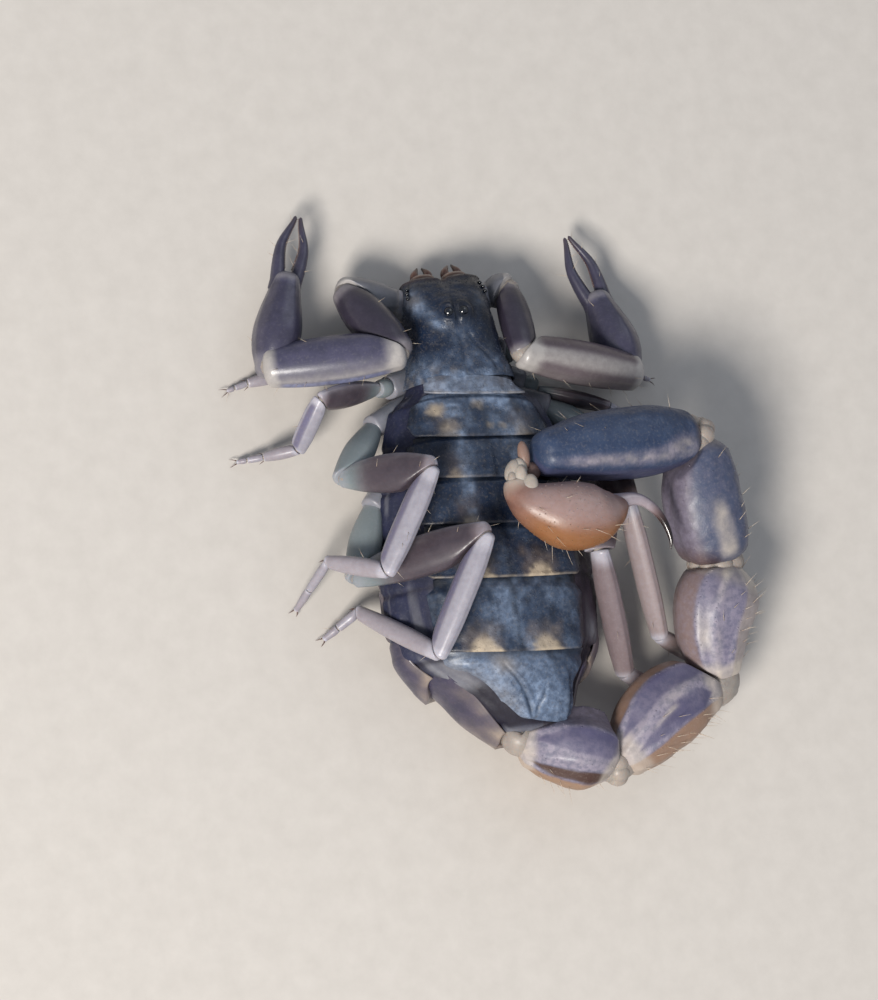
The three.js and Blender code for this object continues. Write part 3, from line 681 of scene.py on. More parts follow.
def mottle(tree, place, size, detail, low, high):
    """Noise with lumps of `size` millimetres, 0 below `low` and 1 above `high`."""
    noise = add(tree, "ShaderNodeTexNoise", {
        "Vector": place, "Scale": 1 / (size * MM), "Detail": detail, "Roughness": 0.6})
    return add(tree, "ShaderNodeMapRange", {"Value": noise, "From Min": low, "From Max": high})


def uneven(tree, mark, noise, clear, covered):
    """A mark whose strength runs from `clear` times to `covered` times with the noise."""
    share = add(tree, "ShaderNodeMapRange", {"Value": noise, "To Min": clear, "To Max": covered})
    return add(tree, "ShaderNodeMath", {0: mark, 1: share}, operation="MULTIPLY", use_clamp=True)


def cuticle(name, base, blotch, pale, warm, deep, green="#6c7673", haze="#74859c",
            gloss=(0.30, 0.46), bump=0.5, cell=0.055, coat=0.25, light_through=0.0, shine=0.4):
    """Waxy cuticle, a hard horn-like skin: fine cells, cloudy colour and a soft gloss.
    Marks on the mesh say where it is pale, dark, brown, green or hazy blue."""
    material, tree, shader, place = new_material(name)
    mark = {m: add(tree, "ShaderNodeAttribute", attribute_name=m).outputs["Fac"] for m in MARKS}
    clouds = mottle(tree, place, 0.30, 4, 0.36, 0.66)
    wisps = mottle(tree, place, 0.16, 3, 0.30, 0.62)
    flecks = add(tree, "ShaderNodeMath", {0: mottle(tree, place, 0.07, 3, 0.52, 0.72), 1: 0.10},
                 operation="MULTIPLY", use_clamp=True)
    tint = blend(tree, clouds, base, blotch)
    for share, over in ((mark["green"], green), (mark["warm"], warm),
                        (uneven(tree, mark["haze"], wisps, 1.25, 0.55), haze), (flecks, pale),
                        (uneven(tree, mark["pale"], wisps, 1.15, 0.86), pale),
                        (uneven(tree, mark["dark"], clouds, 0.85, 1.0), deep)):
        tint = blend(tree, share, tint, over)
    rough = add(tree, "ShaderNodeMapRange", {"Value": clouds, "To Min": gloss[0], "To Max": gloss[1]})
    cells = add(tree, "ShaderNodeTexVoronoi", {"Vector": place, "Scale": 1 / (cell * MM)},
                feature="DISTANCE_TO_EDGE")
    fine = add(tree, "ShaderNodeTexNoise", {
        "Vector": place, "Scale": 1 / (0.12 * MM), "Detail": 4.0, "Roughness": 0.65})
    height = add(tree, "ShaderNodeMath", {0: cells, 1: fine}, operation="ADD")
    relief = add(tree, "ShaderNodeBump", {"Strength": bump, "Distance": 0.006 * MM, "Height": height})
    for source, target in ((tint, "Base Color"), (rough.outputs[0], "Roughness"),
                           (relief.outputs[0], "Normal")):
        tree.links.new(source, shader.inputs[target])
    constants(shader, IOR=1.55, Specular_IOR_Level=shine, Coat_Weight=coat, Coat_Roughness=0.22,
              Subsurface_Weight=light_through, Subsurface_Radius=(1.0, 0.5, 0.3),
              Subsurface_Scale=0.25 * MM)
    return material


def plain_finish(name, size, detail, low, high, first, second, **values):
    """A simpler finish of two colours that mottle into each other."""
    material, tree, shader, place = new_material(name)
    share = mottle(tree, place, size, detail, low, high)
    tree.links.new(blend(tree, share, first, second), shader.inputs["Base Color"])
    constants(shader, **values)
    return material


# Plates of the back and head: nearly black blue, with a dusty bloom that is partly painted bluish sheen and
# highlight, and cream spots.
plate_horn = cuticle("dark_granular_cuticle", "#1b2940", "#131c2e", "#b9a993", "#4a342c", "#0b0e17",
                     haze="#74859f", gloss=(0.34, 0.50), bump=0.8, cell=0.05, coat=0.12, shine=0.3)
# Tail rings: smoother and glossier, slate to indigo between pale worn keels.
tail_horn = cuticle("smooth_tail_cuticle", "#34435f", "#2a3854", "#beb3a8", "#957459", "#4b4866",
                    green="#46302a", haze="#8b8494", gloss=(0.42, 0.56), bump=0.7, cell=0.06,
                    coat=0.08)
# Limbs: thin, pale grey lilac horn that lets a little light through.
limb_horn = cuticle("pale_limb_cuticle", "#6f6a76", "#5d5967", "#aeabb5", "#856b5f", "#322c36",
                    green="#748082", haze="#5f5b76", gloss=(0.34, 0.50), bump=0.4, cell=0.06,
                    light_through=0.10, shine=0.3)
# Poison bulb: amber horn with glands glowing through it, polished.
bulb_horn = cuticle("amber_bulb_cuticle", "#8a675a", "#78564b", "#a28a86", "#8c5c34", "#43231b",
                    green="#b9aca0", gloss=(0.34, 0.46), bump=0.6, cell=0.08, coat=0.12,
                    light_through=0.25)
# Jaws: reddish brown horn.
jaw_horn = cuticle("brown_jaw_cuticle", "#5c3b30", "#4a2e27", "#94705c", "#6e4736", "#1c100d",
                   gloss=(0.26, 0.38), bump=0.35, cell=0.06, coat=0.4, light_through=0.10)
# Claws, sting and finger teeth: tanned horn, brown to black and polished.
tip_horn = cuticle("tanned_horn", "#5e382c", "#482a21", "#a0959c", "#7a4a38", "#120b0c",
                   gloss=(0.12, 0.2), bump=0.1, cell=0.10, coat=0.8)
# Pedipalps: the same horn as the legs, darker and bluer.
palp_horn = cuticle("slate_palp_cuticle", "#4d4b62", "#403f54", "#aaa5a2", "#5d4a46", "#282431",
                    haze="#747a9c", gloss=(0.30, 0.44), bump=0.4, cell=0.06, coat=0.25)
# Belly plates: thin horn, purple on the flanks and paler underneath.
belly_horn = cuticle("thin_belly_cuticle", "#3f3a50", "#312f44", "#93857a", "#7d6a5c", "#1b1923",
                     haze="#6a6b78", gloss=(0.30, 0.45), bump=0.4, cell=0.06, light_through=0.05)
# Soft skin between the plates: dull, finely creased, purple grey.
soft_skin = cuticle("folded_membrane", "#2a2d46", "#22263c", "#8c8c92", "#5b4a4a", "#1f1c27",
                    gloss=(0.45, 0.65), bump=1.0, cell=0.035, coat=0.0, light_through=0.05,
                    shine=0.25)
joint_skin = cuticle("joint_membrane", "#8f857e", "#786f6c", "#b8ada2", "#8a6a5c", "#4a4248",
                     gloss=(0.40, 0.55), bump=0.8, cell=0.04, coat=0.1, light_through=0.2)
# Eye lens: clear horn over black pigment, as smooth as glass.
eye_lens = plain_finish("polished_eye_lens", 0.12, 2, 0.4, 0.7, "#06070b", "#10141f", Roughness=0.06,
                        IOR=1.5, Coat_Weight=1.0, Coat_Roughness=0.03)
# Bristles: thin clear-tipped horn, pale amber.
bristle_horn = plain_finish("bristle_horn", 0.05, 2, 0.35, 0.7, "#cfc2b2", "#a08b78", Roughness=0.4,
                            Subsurface_Weight=0.3, Subsurface_Radius=(1.0, 0.7, 0.5),
                            Subsurface_Scale=0.02 * MM)

# ---------------------------------------------------------------- trunk

TABLE_STEPS = 400          # steps in the table of a cross-section


def outline_table(knots):
    """Across and up shares at even steps of the way round from mid-belly to mid-back."""
    fine = through(knots, np.linspace(0, 1, TABLE_STEPS))
    fine[:, 1] = np.clip(fine[:, 1], 0, 1)
    walk = np.concatenate([[0], np.cumsum(np.linalg.norm(np.diff(fine, axis=0), axis=1))])
    even = np.linspace(0, walk[-1], TABLE_STEPS)
    return [np.interp(even, walk, fine[:, k]) for k in (0, 1)]


TRUNK_TABLE, HEAD_TABLE = outline_table(TRUNK_OUTLINE), outline_table(HEAD_OUTLINE)


def lean(points):
    """The front of the body leans to the left, and the back of its rear end slants to the right."""
    share = np.clip((points[..., 1] - ROLL_ENDS) / (STATIONS[-1, 0] - ROLL_ENDS), 0, 1)
    c, s = np.cos(HEAD_ROLL * share), np.sin(HEAD_ROLL * share)
    slant = flow(points[..., 1], SLANT[:, 0], SLANT[:, 1]) * np.maximum(points[..., 2] - SLANT_FROM, 0)
    x, z = points[..., 0] + slant - HEAD_BEND * share, points[..., 2] - ROLL_HEIGHT
    return np.stack([x * c - z * s, points[..., 1], x * s + z * c + ROLL_HEIGHT], -1)


def trunk_at(y, round_):
    """A point of the trunk's outer surface. `round_` is 0 at mid-back and 1 at mid-belly,
    on the right side where it is positive."""
    y, round_ = np.broadcast_arrays(np.asarray(y, float), np.asarray(round_, float))
    half, back, belly = (flow(y, STATIONS[:, 0], STATIONS[:, k]) for k in (1, 2, 3))
    share = np.clip(1 - np.abs(round_), 0, 1)
    steps = np.linspace(0, 1, TABLE_STEPS)
    head = smooth(y, 4.1, 4.9)
    across, up = ((1 - head) * np.interp(share, steps, TRUNK_TABLE[k])
                  + head * np.interp(share, steps, HEAD_TABLE[k]) for k in (0, 1))
    return np.stack([np.sign(round_) * across * half, y, belly + (back - belly) * up], -1)


def trunk_normal(y, round_):
    d = 0.01
    onwards = trunk_at(y + d, round_) - trunk_at(y - d, round_)
    sideways = trunk_at(y, round_ + d) - trunk_at(y, round_ - d)
    return unit(np.cross(sideways, onwards))


THINNEST = 0.012           # thickness of a plate's edges


def plate(shape, fronts, rears, edge, lift, thickness, marks, count):
    """A curved plate of the trunk. Places run front to rear and from its left edge to its
    right one; `lift` and `marks` are functions of both shares and of the points."""
    t = np.linspace(0, 1, count[0])[:, None]
    w = np.linspace(-1, 1, count[1])[None, :]
    front, rear = fronts(w), rears(w)
    y = front + (rear - front) * t
    round_ = edge(t) * w
    base, normal = trunk_at(y, round_), trunk_normal(y, round_)
    top = base + normal * lift(t, w, base)[..., None]
    thin = thickness * np.minimum(smooth(1 - np.abs(w), -0.06, 0.05), smooth(1 - t, -0.12, 0.10))
    bottom = top - normal * (thin + THINNEST)[..., None]
    lie = np.broadcast_to((0, -1.0, 0.2), top.shape)
    shape.sheet(lean(top), lean(bottom), {k: v(t, w, base) for k, v in marks.items()}, lie)


def ridge(x, places, reach):
    return sum(hump(x, p, reach) for p in places)


# For each back plate: the share of the way round from mid-back to mid-belly at which it ends, the
# strength of its pale rear line and of its bluish bloom, and of two columns of bloom beside the
# midline. On the last two plates the bloom is largely painted sheen and highlight.
BACK_REACH = [0.35, 0.365, 0.365, 0.36, 0.33, 0.315, 0.36]
REAR_LINE = [0.20, 0.08, 0.10, 0.12, 0.34, 0.12, 0.0]
BLOOM_AND_SHEEN = [0.85, 0.30, 0.10, 0.08, 0.14, 0.55, 0.85]
BLOOM_COLUMNS = [0.0, 0.35, 0.40, 0.55, 0.0, 0.0, 0.0]
EDGE_SLANT = 0.14          # the plates' edges run this much further forward on the left
TUCK = 0.16                # length of a plate that lies under the one ahead
# The two wandering furrows of the last back plate: places along it, and across.
LEFT_FURROW = np.array([(-4.1, -0.40), (-3.58, -0.45), (-3.15, -0.52), (-2.9, -0.60), (-2.5, -0.66)])
RIGHT_FURROW = np.array([(-4.1, -0.33), (-3.88, -0.25), (-3.62, -0.05), (-3.2, 0.20), (-2.5, 0.40)])


def furrows(p):
    """Distances across to the two furrows of the last back plate."""
    return [p[..., 0] - flow(p[..., 1], line[:, 0], line[:, 1]) for line in (LEFT_FURROW, RIGHT_FURROW)]


def back_plate(number):
    """One of the seven back plates. Its front band is smooth and tucked under the one ahead."""
    rear = PLATE_REARS[number - 1]
    front = (PLATE_REARS[number - 2] if number > 1 else SHIELD_REAR) + TUCK
    last = number == 7
    spot = BACK_SPOTS[number - 1] if not last else None
    spot_shift = -0.10 if number == 6 else 0.0

    def lift(t, w, p):
        x, step = p[..., 0], smooth(t, 0.10, 0.22)
        up = -0.075 + 0.075 * step + 0.030 * smooth(t, 0.2, 1.0)
        keels = 0.024 * hump(x, 0, 0.09) + 0.018 * ridge(x, (-0.62, 0.62), 0.12)
        if last:
            left, right = furrows(p)
            keels = 0.02 * ridge(left, (-0.10, 0.10), 0.06) - 0.03 * hump(left, 0, 0.05)
            beside = 0.02 * ridge(right, (-0.1, 0.1), 0.06) - 0.02 * hump(right, 0, 0.05)
            keels = keels + smooth(p[..., 1], -3.2, -3.5) * beside
            keels = keels + 0.04 * hump(np.abs(x) - 0.85 * (1 - 0.4 * smooth(t, 0.2, 1.0)), 0, 0.09)
        up = up + keels * step * smooth(t, 0.15, 0.45) * smooth(1 - t, -0.02, 0.06)
        up = up + 0.010 * hump(t, 0.965, 0.03)
        up = up + (0.016 * grain(p, 0.30, number) + 0.010 * grain(p, 0.13, 60 + number)) * step
        return up - 0.09 * smooth(np.abs(w), 0.84, 1.0) - 0.02 * smooth(t, 0.985, 1.0)

    def blush(t, p):
        """The pinkish patch around each wedge."""
        across = np.abs(np.abs(p[..., 0] - spot_shift) - spot[0]) - 0.45 * (1 if number > 4 else 0.6)
        ahead = (1 - t) * (front - rear)
        cloud = 0.12 * grain(p, 0.2, 80 + number)
        return smooth(across + cloud, 0.18, -0.18) * smooth(ahead + cloud, 0.95, 0.40) * (ahead < 1.2)

    def pale(t, w, p):
        x, y = p[..., 0], p[..., 1]
        if last:
            # On the last plate the round pale blot at the left front is a painted highlight.
            side = 0.14 * smooth(w, -0.50, -0.85) * smooth(t, 0.04, 0.16)
            return side * (0.8 + 0.4 * grain(p, 0.16, 31)) + 0.35 * blot(x, y, (-0.62, -2.72), (0.28, 0.28))
        ahead = (1 - t) * (front - rear)
        rough = 0.05 * grain(p, 0.09, 70 + number)
        line = REAR_LINE[number - 1] * hump(ahead, 0.03, 0.03)
        line = line * (0.6 + 0.8 * smooth(grain(p, 0.10, 90 + number), -0.3, 0.4))
        place, wide, tall, strength = spot
        aside = np.abs(np.abs(x - spot_shift) - place)
        wedge = smooth(wide * (1 - 0.8 * ahead / tall) / 2 - aside + 1.6 * rough, -0.12, 0.13)
        wedge = 0.8 * strength * wedge * smooth(ahead, tall * 1.15, tall * 0.35)
        halo = (0.12 if number > 4 else 0.06) * blush(t, p)
        stray = sum(s * smooth(np.hypot(x - a, (y - b) * 1.2) + rough, r * 1.6, r * 0.2)
                    for a, b, r, s in STRAY_SPOTS)
        return line + wedge + halo + stray + (0.06 if number == 1 else 0.0)

    def haze(t, w, p):
        x = p[..., 0]
        bloom = BLOOM_AND_SHEEN[number - 1]
        # On the last plate the bloom is a painted highlight, fading towards the right, away from the light.
        if last:
            middle = 0.35 + 0.65 * smooth(x, 0.70, 0.45)
            return bloom * middle * (0.78 + 0.35 * smooth(grain(p, 0.5, 28), -0.3, 0.4))
        cloud = (0.35 if number > 1 else 0.6) + 0.9 * smooth(grain(p, 0.34, 21 + number), -0.35, 0.4)
        column = BLOOM_COLUMNS[number - 1] * hump(np.abs(x), 0.72, 0.22)
        if number == 2:
            column = column + 0.5 * smooth(t, 0.45, 0.2)
        return (bloom * (0.45 + 0.55 * hump(x, 0, 1.2)) + column) * cloud

    def warm(t, w, p):
        side = 0.25 * smooth(w, 0.75, 0.95)
        return side if last else side + 0.35 * blush(t, p) * (1 if number > 3 else 0.5)

    def dark(t, w, p):
        # The front band, tucked under the plate ahead, is painted dark as shade.
        tuck_shade = 0.6 * smooth(t, 0.16, 0.08) * (number > 2)
        if last:
            # The dark lines along the last plate's furrows are painted shade in the grooves.
            left, right = (hump(line, 0, 0.04) for line in furrows(p))
            lines = 0.45 * left + 0.35 * right * smooth(p[..., 1], -3.2, -3.5)
            return tuck_shade + lines * smooth(t, 0.15, 0.3)
        side = 0.35 * smooth(np.abs(w), 0.62, 0.95) * (number > 1)
        middle = 0.30 * hump(p[..., 0], 0, 0.13)
        return tuck_shade + middle + side + 0.3 * smooth(grain(p, 0.2, 41 + number), 0.15, 0.6)

    def granular(t, w, p):
        keel = ridge(p[..., 0], (-0.62, 0, 0.62), 0.08)
        rows = hump((1 - t) * (front - rear), 0.10, 0.05)
        return smooth(t, 0.22, 0.40) * smooth(1 - np.abs(w), 0.02, 0.08) * np.clip(
            0.35 + 0.8 * keel + 0.6 * rows, 0, 1) * smooth(1 - t, 0.0, 0.03)

    narrow = 0.25 if last else 0.02
    corner, corner_from = (0.34, 0.66) if last else (0.26, 0.80)
    shape = Shape()
    plate(shape, lambda w: front - 0.10 * w ** 2 - 0.08 * w ** 8 - EDGE_SLANT * w,
          lambda w: (rear + 0.10 * w ** 2 - EDGE_SLANT * w
                     + corner * smooth(np.abs(w), corner_from, 1.0) ** 2),
          lambda t: BACK_REACH[number - 1] * (1 - narrow * smooth(t, 0.05, 0.55)), lift, 0.04,
          {"pale": pale, "haze": haze, "warm": warm, "dark": dark, "grain": granular,
           "hairy": lambda t, w, p: 0.25 * smooth(t, 0.8, 0.95) * (np.abs(w) > 0.5)},
          (int(26 + (front - rear) * 26), 121))
    return shape


# For belly plates 3 to 7: the share of the way round from mid-belly to mid-back at which each
# ends, and how far its sides flare.
BELLY_REACH = [0.44, 0.46, 0.48, 0.57, 0.63]
FLARE = [0.03, 0.03, 0.03, 0.22, 0.02]


def belly_plate(number):
    """One of the five belly plates behind the combs, the first four with breathing slits.
    Their sides stand up along the flanks and flare a little behind."""
    last = number == 7
    front, rear = BELLY_REARS[number - 3] + (0.60 if last else 0.14), BELLY_REARS[number - 2]
    corner = 0.20 if last else 0.34
    t = np.linspace(0, 1, 50)[:, None]
    w = np.linspace(-1, 1, 141)[None, :]
    side = np.abs(w)
    y = front + (rear + 0.05 * w ** 2 + corner * smooth(side, 0.66, 1.0) ** 2 - front) * t
    edge = BELLY_REACH[number - 3]
    round_ = np.where(w <= 0, -1 + edge * side, 1 - edge * side)
    base, normal = trunk_at(y, round_), trunk_normal(y, np.clip(np.abs(round_), 0, 0.985) * np.sign(round_))
    x = base[..., 0]
    raised = -0.06 + 0.06 * smooth(t, 0.06, 0.2) + 0.03 * smooth(t, 0.2, 1.0)
    slit = blot(np.abs(x), base[..., 1] - (front + rear) / 2 - 0.25 * (np.abs(x) - 1.15), (1.15, 0),
                (0.24, 0.045))
    if last:
        raised = raised + 0.03 * ridge(x, (-0.45, 0.45), 0.07) * smooth(t, 0.2, 0.5)
    else:
        raised = raised - 0.07 * slit
    raised = raised * (0.15 + 0.85 * smooth(base[..., 2], 0.02, 0.25))
    flare = FLARE[number - 3] * rise_and_fall(side, 0.40, 0.75, 0.70, 1.08)
    raised = raised + flare * smooth(t, 0.3, 1.0) - 0.05 * smooth(side, 0.93, 1.0)
    thin = 0.05 * smooth(1 - side, -0.06, 0.05) + THINNEST + np.maximum(raised, 0)
    top = base + normal * raised[..., None]
    top[..., 2] = np.maximum(top[..., 2], FLOOR_GAP)
    bottom = base + normal * (raised - thin)[..., None]
    bottom[..., 2] = np.maximum(bottom[..., 2], FLOOR_GAP + 0.04 * (side < 0.75))
    rim = 0.4 * smooth(side, 0.93, 0.985)
    if last:
        rim = 0.45 * smooth(side, 0.84, 0.96) * smooth(base[..., 1], -2.9, -3.5)
        rim = np.maximum(rim, 0.4 * smooth(base[..., 1], -3.6, -4.3))
    line, line_reach = (0.45, 0.05) if number < 6 else (0.65, 0.16)
    line = line * hump((1 - t) * (front - rear), 0.03, line_reach) * smooth(side, 0.3, 0.6)
    under = 0.45 * smooth(side, 0.62, 0.45)
    cloud = 0.75 + 0.5 * grain(base, 0.25, 40 + number)
    shape = Shape()
    # The dark front band of each plate, tucked under the one ahead, is painted shade.
    shape.sheet(lean(bottom), lean(top), {
        "pale": (rim + line + under) * cloud, "warm": 0.25 * smooth(side, 0.7, 0.4),
        "dark": 0.5 * smooth(t, 0.16, 0.06) + (0 if last else 0.8) * slit,
        "hairy": 0.12 * smooth(t, 0.2, 0.4)})
    return shape


def trunk_skin():
    """The soft skin of the trunk, folded along the flanks between back and belly plates."""
    y = np.linspace(5.0, -4.58, 190)[:, None]
    round_ = np.linspace(-1, 1, 241)[None, :-1]
    base, normal = trunk_at(y, round_), trunk_normal(y, np.clip(round_, -0.985, 0.985))
    side = np.abs(round_)
    edge = np.interp(y, [-4.6, -3.0, -2.5, 0.0, 5.0], [0.29, 0.31, 0.335, 0.35, 0.37])
    flank = smooth(side, edge, edge + 0.06) * smooth(side, 0.58, 0.50) * smooth(y, 4.5, 3.9)
    run = np.stack([base[..., 0] * 0.5, base[..., 1] * 0.35, base[..., 2] * 2.2], -1)
    folds = 0.045 * grain(run, 0.42, 3) + 0.025 * grain(run * (1, 2, 1), 0.2, 4)
    creases = -0.06 * ridge(y, PLATE_REARS, 0.07)
    swell = 0.05 * smooth(y, -2.5, -2.0) * flank
    rows = base + normal * (-0.095 + flank * (0.025 + folds + creases) + swell)[..., None]
    close = 0.03 + 0.97 * smooth(y, -4.58, -4.40)[..., None]
    middle = np.array([0, 0, 1.4]) + np.array([0, 1, 0]) * y[..., None]
    rows = middle * (1 - close) + rows * close
    rows[..., 2] = np.maximum(rows[..., 2], FLOOR_GAP + 0.03)
    left, right = round_ < 0, round_ > 0
    rear_right = right * smooth(y, 2.0, 0.0)
    near = between(side, 0.22, 0.40, 0.05) * between(y, -3.4, -2.45, 0.2)
    pale = 0.30 * smooth(grain(run, 0.3, 8), 0.1, 0.7)
    pale = pale + 0.75 * left * near * (0.9 + 0.3 * grain(run, 0.35, 18))
    pale = pale + 0.8 * right * blot(side, y, (0.40, -2.05), (0.05, 0.28))
    pale = pale + 0.35 * between(y, 3.6, 5.0, 0.2) * right + 0.5 * smooth(y, -4.15, -4.45)
    dark = 0.2 * (1 - flank) + 0.8 * between(y, -4.25, -3.2, 0.15)
    dark = dark + 0.6 * smooth(y, -2.3, -2.6) * (1 - left * near)
    dark = dark * smooth(y, -4.45, -4.15)
    # The dark lines at the plates' rear edges are painted shade in the creases under the plates.
    dark = dark + 0.35 * rear_right + 0.5 * ridge(y, PLATE_REARS, 0.06)
    marks = {"pale": pale, "warm": 0.4 * rear_right, "dark": dark}
    shape = Shape()
    shape.grid(lean(rows)[:, ::-1], {k: v[:, ::-1] for k, v in marks.items()})
    return shape


def carapace():
    """The head shield, with its eye hill, furrows and raised rim."""
    front, rear = 7.38, SHIELD_REAR - 0.02

    def lift(t, w, p):
        x, y = p[..., 0], p[..., 1]
        up = 0.12 * blot(x, y, (0, EYE["y"]), (0.36, 0.46))
        up = up - 0.055 * hump(x, 0, 0.06) * hump(y, EYE["y"], 0.32)
        brow = hump(np.hypot(np.abs(x) - EYE["x"], y - EYE["y"]), 0.20, 0.05)
        up = up + 0.04 * brow * smooth(np.abs(x), 0.02, 0.10)
        up = up - 0.04 * hump(x, 0, 0.085) * smooth(y, 5.85, 5.5) * smooth(y, 4.5, 4.8)
        arc = np.abs(x) - (0.22 + 0.55 * smooth(y, 5.75, 4.75))
        up = up - 0.035 * hump(arc, 0, 0.08) * smooth(y, 5.9, 5.6) * smooth(y, 4.55, 4.8)
        up = up + 0.03 * hump(arc, 0.20, 0.14) * hump(y, 5.1, 0.35)
        up = up - 0.04 * hump(x, 0, 0.10) * smooth(y, 6.7, 7.0)
        up = up + 0.025 * hump(np.abs(w), 0.955, 0.03) + 0.025 * hump(t, 0.02, 0.02)
        up = up + 0.018 * grain(p, 0.30, 5) + 0.010 * grain(p, 0.13, 6)
        return up - 0.05 * smooth(np.abs(w), 0.965, 1.0) - 0.06 * smooth(t, 0.018, 0.0)

    def haze(t, w, p):
        x, y = p[..., 0], p[..., 1]
        # The shoulder patch and the slanting band are painted highlight on the left front, where the light
        # falls.
        lit_shoulder = 0.95 * blot(x, y, (-0.92, 6.70), (0.22, 0.28))
        band = 0.60 * hump(x + 0.80 - 0.50 * (6.6 - y), 0, 0.16) * between(y, 5.8, 6.6, 0.15)
        behind_eyes = 0.40 * blot(x, y, (0.02, 5.72), (0.30, 0.30))
        rear = 0.30 * smooth(y, 5.5, 5.0) + 0.15 * smooth(y, 5.15, 4.85) * smooth(x, -0.55, -0.95)
        rear = rear + 0.5 * smooth(y, 4.80, 4.66) * smooth(np.abs(x + 0.1), 0.95, 0.6)
        right = 0.30 * hump(x, 0.75, 0.2) * between(y, 6.3, 6.9, 0.15)
        return ((lit_shoulder + band + behind_eyes + rear + right)
                * (0.5 + 0.75 * smooth(grain(p, 0.26, 12), -0.35, 0.4)))

    def pale(t, w, p):
        x, y = p[..., 0], p[..., 1]
        cloud = 0.16 * smooth(grain(p, 0.2, 11), -0.1, 0.6) * smooth(y, 5.1, 4.7) * smooth(x, 0.3, -0.8)
        # The pale blot on the left shoulder is a painted highlight.
        return cloud + 0.18 * blot(x, y, (-0.92, 6.72), (0.16, 0.20))

    def dark(t, w, p):
        x, y = p[..., 0], p[..., 1]
        # The dark blot over the eye hill sits on its right side, and the right rear of the shield is
        # darkened: both are painted shade on the side away from the light.
        hill = 0.85 * blot(x, y, (0.18, EYE["y"] + 0.02), (0.50, 0.34))
        return hill + 0.35 * smooth(y, 6.7, 7.2) + 0.5 * smooth(x, 0.25, 0.8) * smooth(y, 4.8, 5.4)

    def warm(t, w, p):
        return 0.9 * smooth(t, 0.06, 0.0) + 0.35 * smooth(w, 0.6, 0.95)

    def granular(t, w, p):
        clear = 1 - hump(p[..., 0], 0, 0.07) * smooth(p[..., 1], 5.9, 5.6)
        eyes = smooth(np.hypot(np.abs(p[..., 0]) - EYE["x"], p[..., 1] - EYE["y"]), 0.2, 0.26)
        inside = smooth(1 - np.abs(w), 0.01, 0.05) * smooth(t, 0.01, 0.03) * smooth(1 - t, 0.01, 0.03)
        return inside * clear * eyes

    shape = Shape()
    plate(shape, lambda w: front - 0.16 * w ** 4 - 0.05 * hump(w, 0, 0.14), lambda w: rear,
          lambda t: 0.60, lift, 0.07,
          {"haze": haze, "pale": pale, "dark": dark, "warm": warm, "grain": granular}, (150, 161))
    return shape


for number in range(1, 8):
    piece = back_plate(number).build(f"back_plate_{number}", plate_horn)
    granulate(piece, 0.066, 0.010, 0.024, number)
    finish_piece(piece, "dark_cuticle", f"mesosoma_{number}")
for number in range(3, 8):
    piece = belly_plate(number).build(f"belly_plate_{number}", belly_horn)
    finish_piece(piece, "limb_cuticle", f"mesosoma_{number}")
finish_piece(trunk_skin().build("trunk_skin", soft_skin), "soft_membrane", "mesosoma_1", "mesosoma_2")
piece = granulate(carapace().build("head_shield", plate_horn), 0.064, 0.011, 0.026, 21)
finish_piece(piece, "dark_cuticle", "carapace")

# ---------------------------------------------------------------- head, underside

SIDE_EYES = [(0.94, 7.08, 1.66), (0.985, 6.95, 1.76), (1.005, 6.82, 1.84)]
SIDE_EYE_RADIUS = 0.055
SIDES = (("left", -1), ("right", 1))


def ball(shape, centre, radius, flat=(1, 1, 1), up=(0, 0, 1), marks=None, sides=32):
    """A lens or knob: a sphere stretched along its own axes."""
    turn = np.linspace(-math.pi / 2 + 0.05, math.pi / 2 - 0.05, sides // 2 + 1)
    axis = unit(np.array(up, float))
    other = unit(np.cross(axis, (0.3, 1.0, 0.2)))
    path = np.array(centre) + np.outer(np.sin(turn) * radius * flat[2], axis)
    sweep(shape, path, np.cos(turn) * radius * flat[0], np.cos(turn) * radius * flat[1], other,
          sides, marks=marks)


def on_head(sign, x, y, z):
    return lean(np.array([sign * x, y, z], float))


def jaw(side, sign):
    """A chelicera: a stout base, and two fingers that close in front of the head."""
    shape = Shape()
    segment(shape, on_head(sign, 0.42, 6.75, 1.10), on_head(sign, 0.41, 7.36, 1.10),
            [0.30, 0.35, 0.37, 0.32], 0.98, (0, 0, 1), sides=36, step=0.03, power=2.6,
            marks={"warm": 0.4, "pale": lambda t, a: 0.35 * smooth(t, 0.95, 1.15),
                   "dark": lambda t, a: 0.35 * smooth(np.abs(turned(a, 0)), 60, 20),
                   "hairy": lambda t, a: 0.5 * smooth(t, 0.5, 0.9)})
    share = np.linspace(0, 1, 26)
    size = through([0.15, 0.12, 0.025], share)
    for out, top, tip in ((0.26, 1.02, 7.74), (0.52, 0.96, 7.76)):
        aside = out - 0.39
        path = [on_head(sign, out, 7.30, top), on_head(sign, out + aside * 0.3, 7.54, top - 0.05),
                on_head(sign, 0.39 + aside * 0.4, tip, top - 0.16)]
        sweep(shape, through(path, share), size, size * 0.9, (0, 0, 1), 18,
              marks={"dark": lambda t, a: smooth(t, 0.5, 0.95), "warm": 0.5})
    finish_piece(shape.build(f"jaw_{side}", jaw_horn), "telson_cuticle", f"chelicera_{side}")


for side, sign in SIDES:
    shape = Shape()
    ball(shape, on_head(sign, EYE["x"], EYE["y"], EYE["z"] - 0.02), EYE["radius"],
         up=(sign * 0.8, 0.1, 1), sides=40)
    finish_piece(shape.build(f"eye_{side}", eye_lens), "eye_lens", f"eye_median_{side}")
shape = Shape()
for sign, place in product((-1, 1), SIDE_EYES):
    ball(shape, on_head(sign, *place), SIDE_EYE_RADIUS, sides=24)
finish_piece(shape.build("side_eyes", eye_lens), "eye_lens")
for side, sign in SIDES:
    jaw(side, sign)


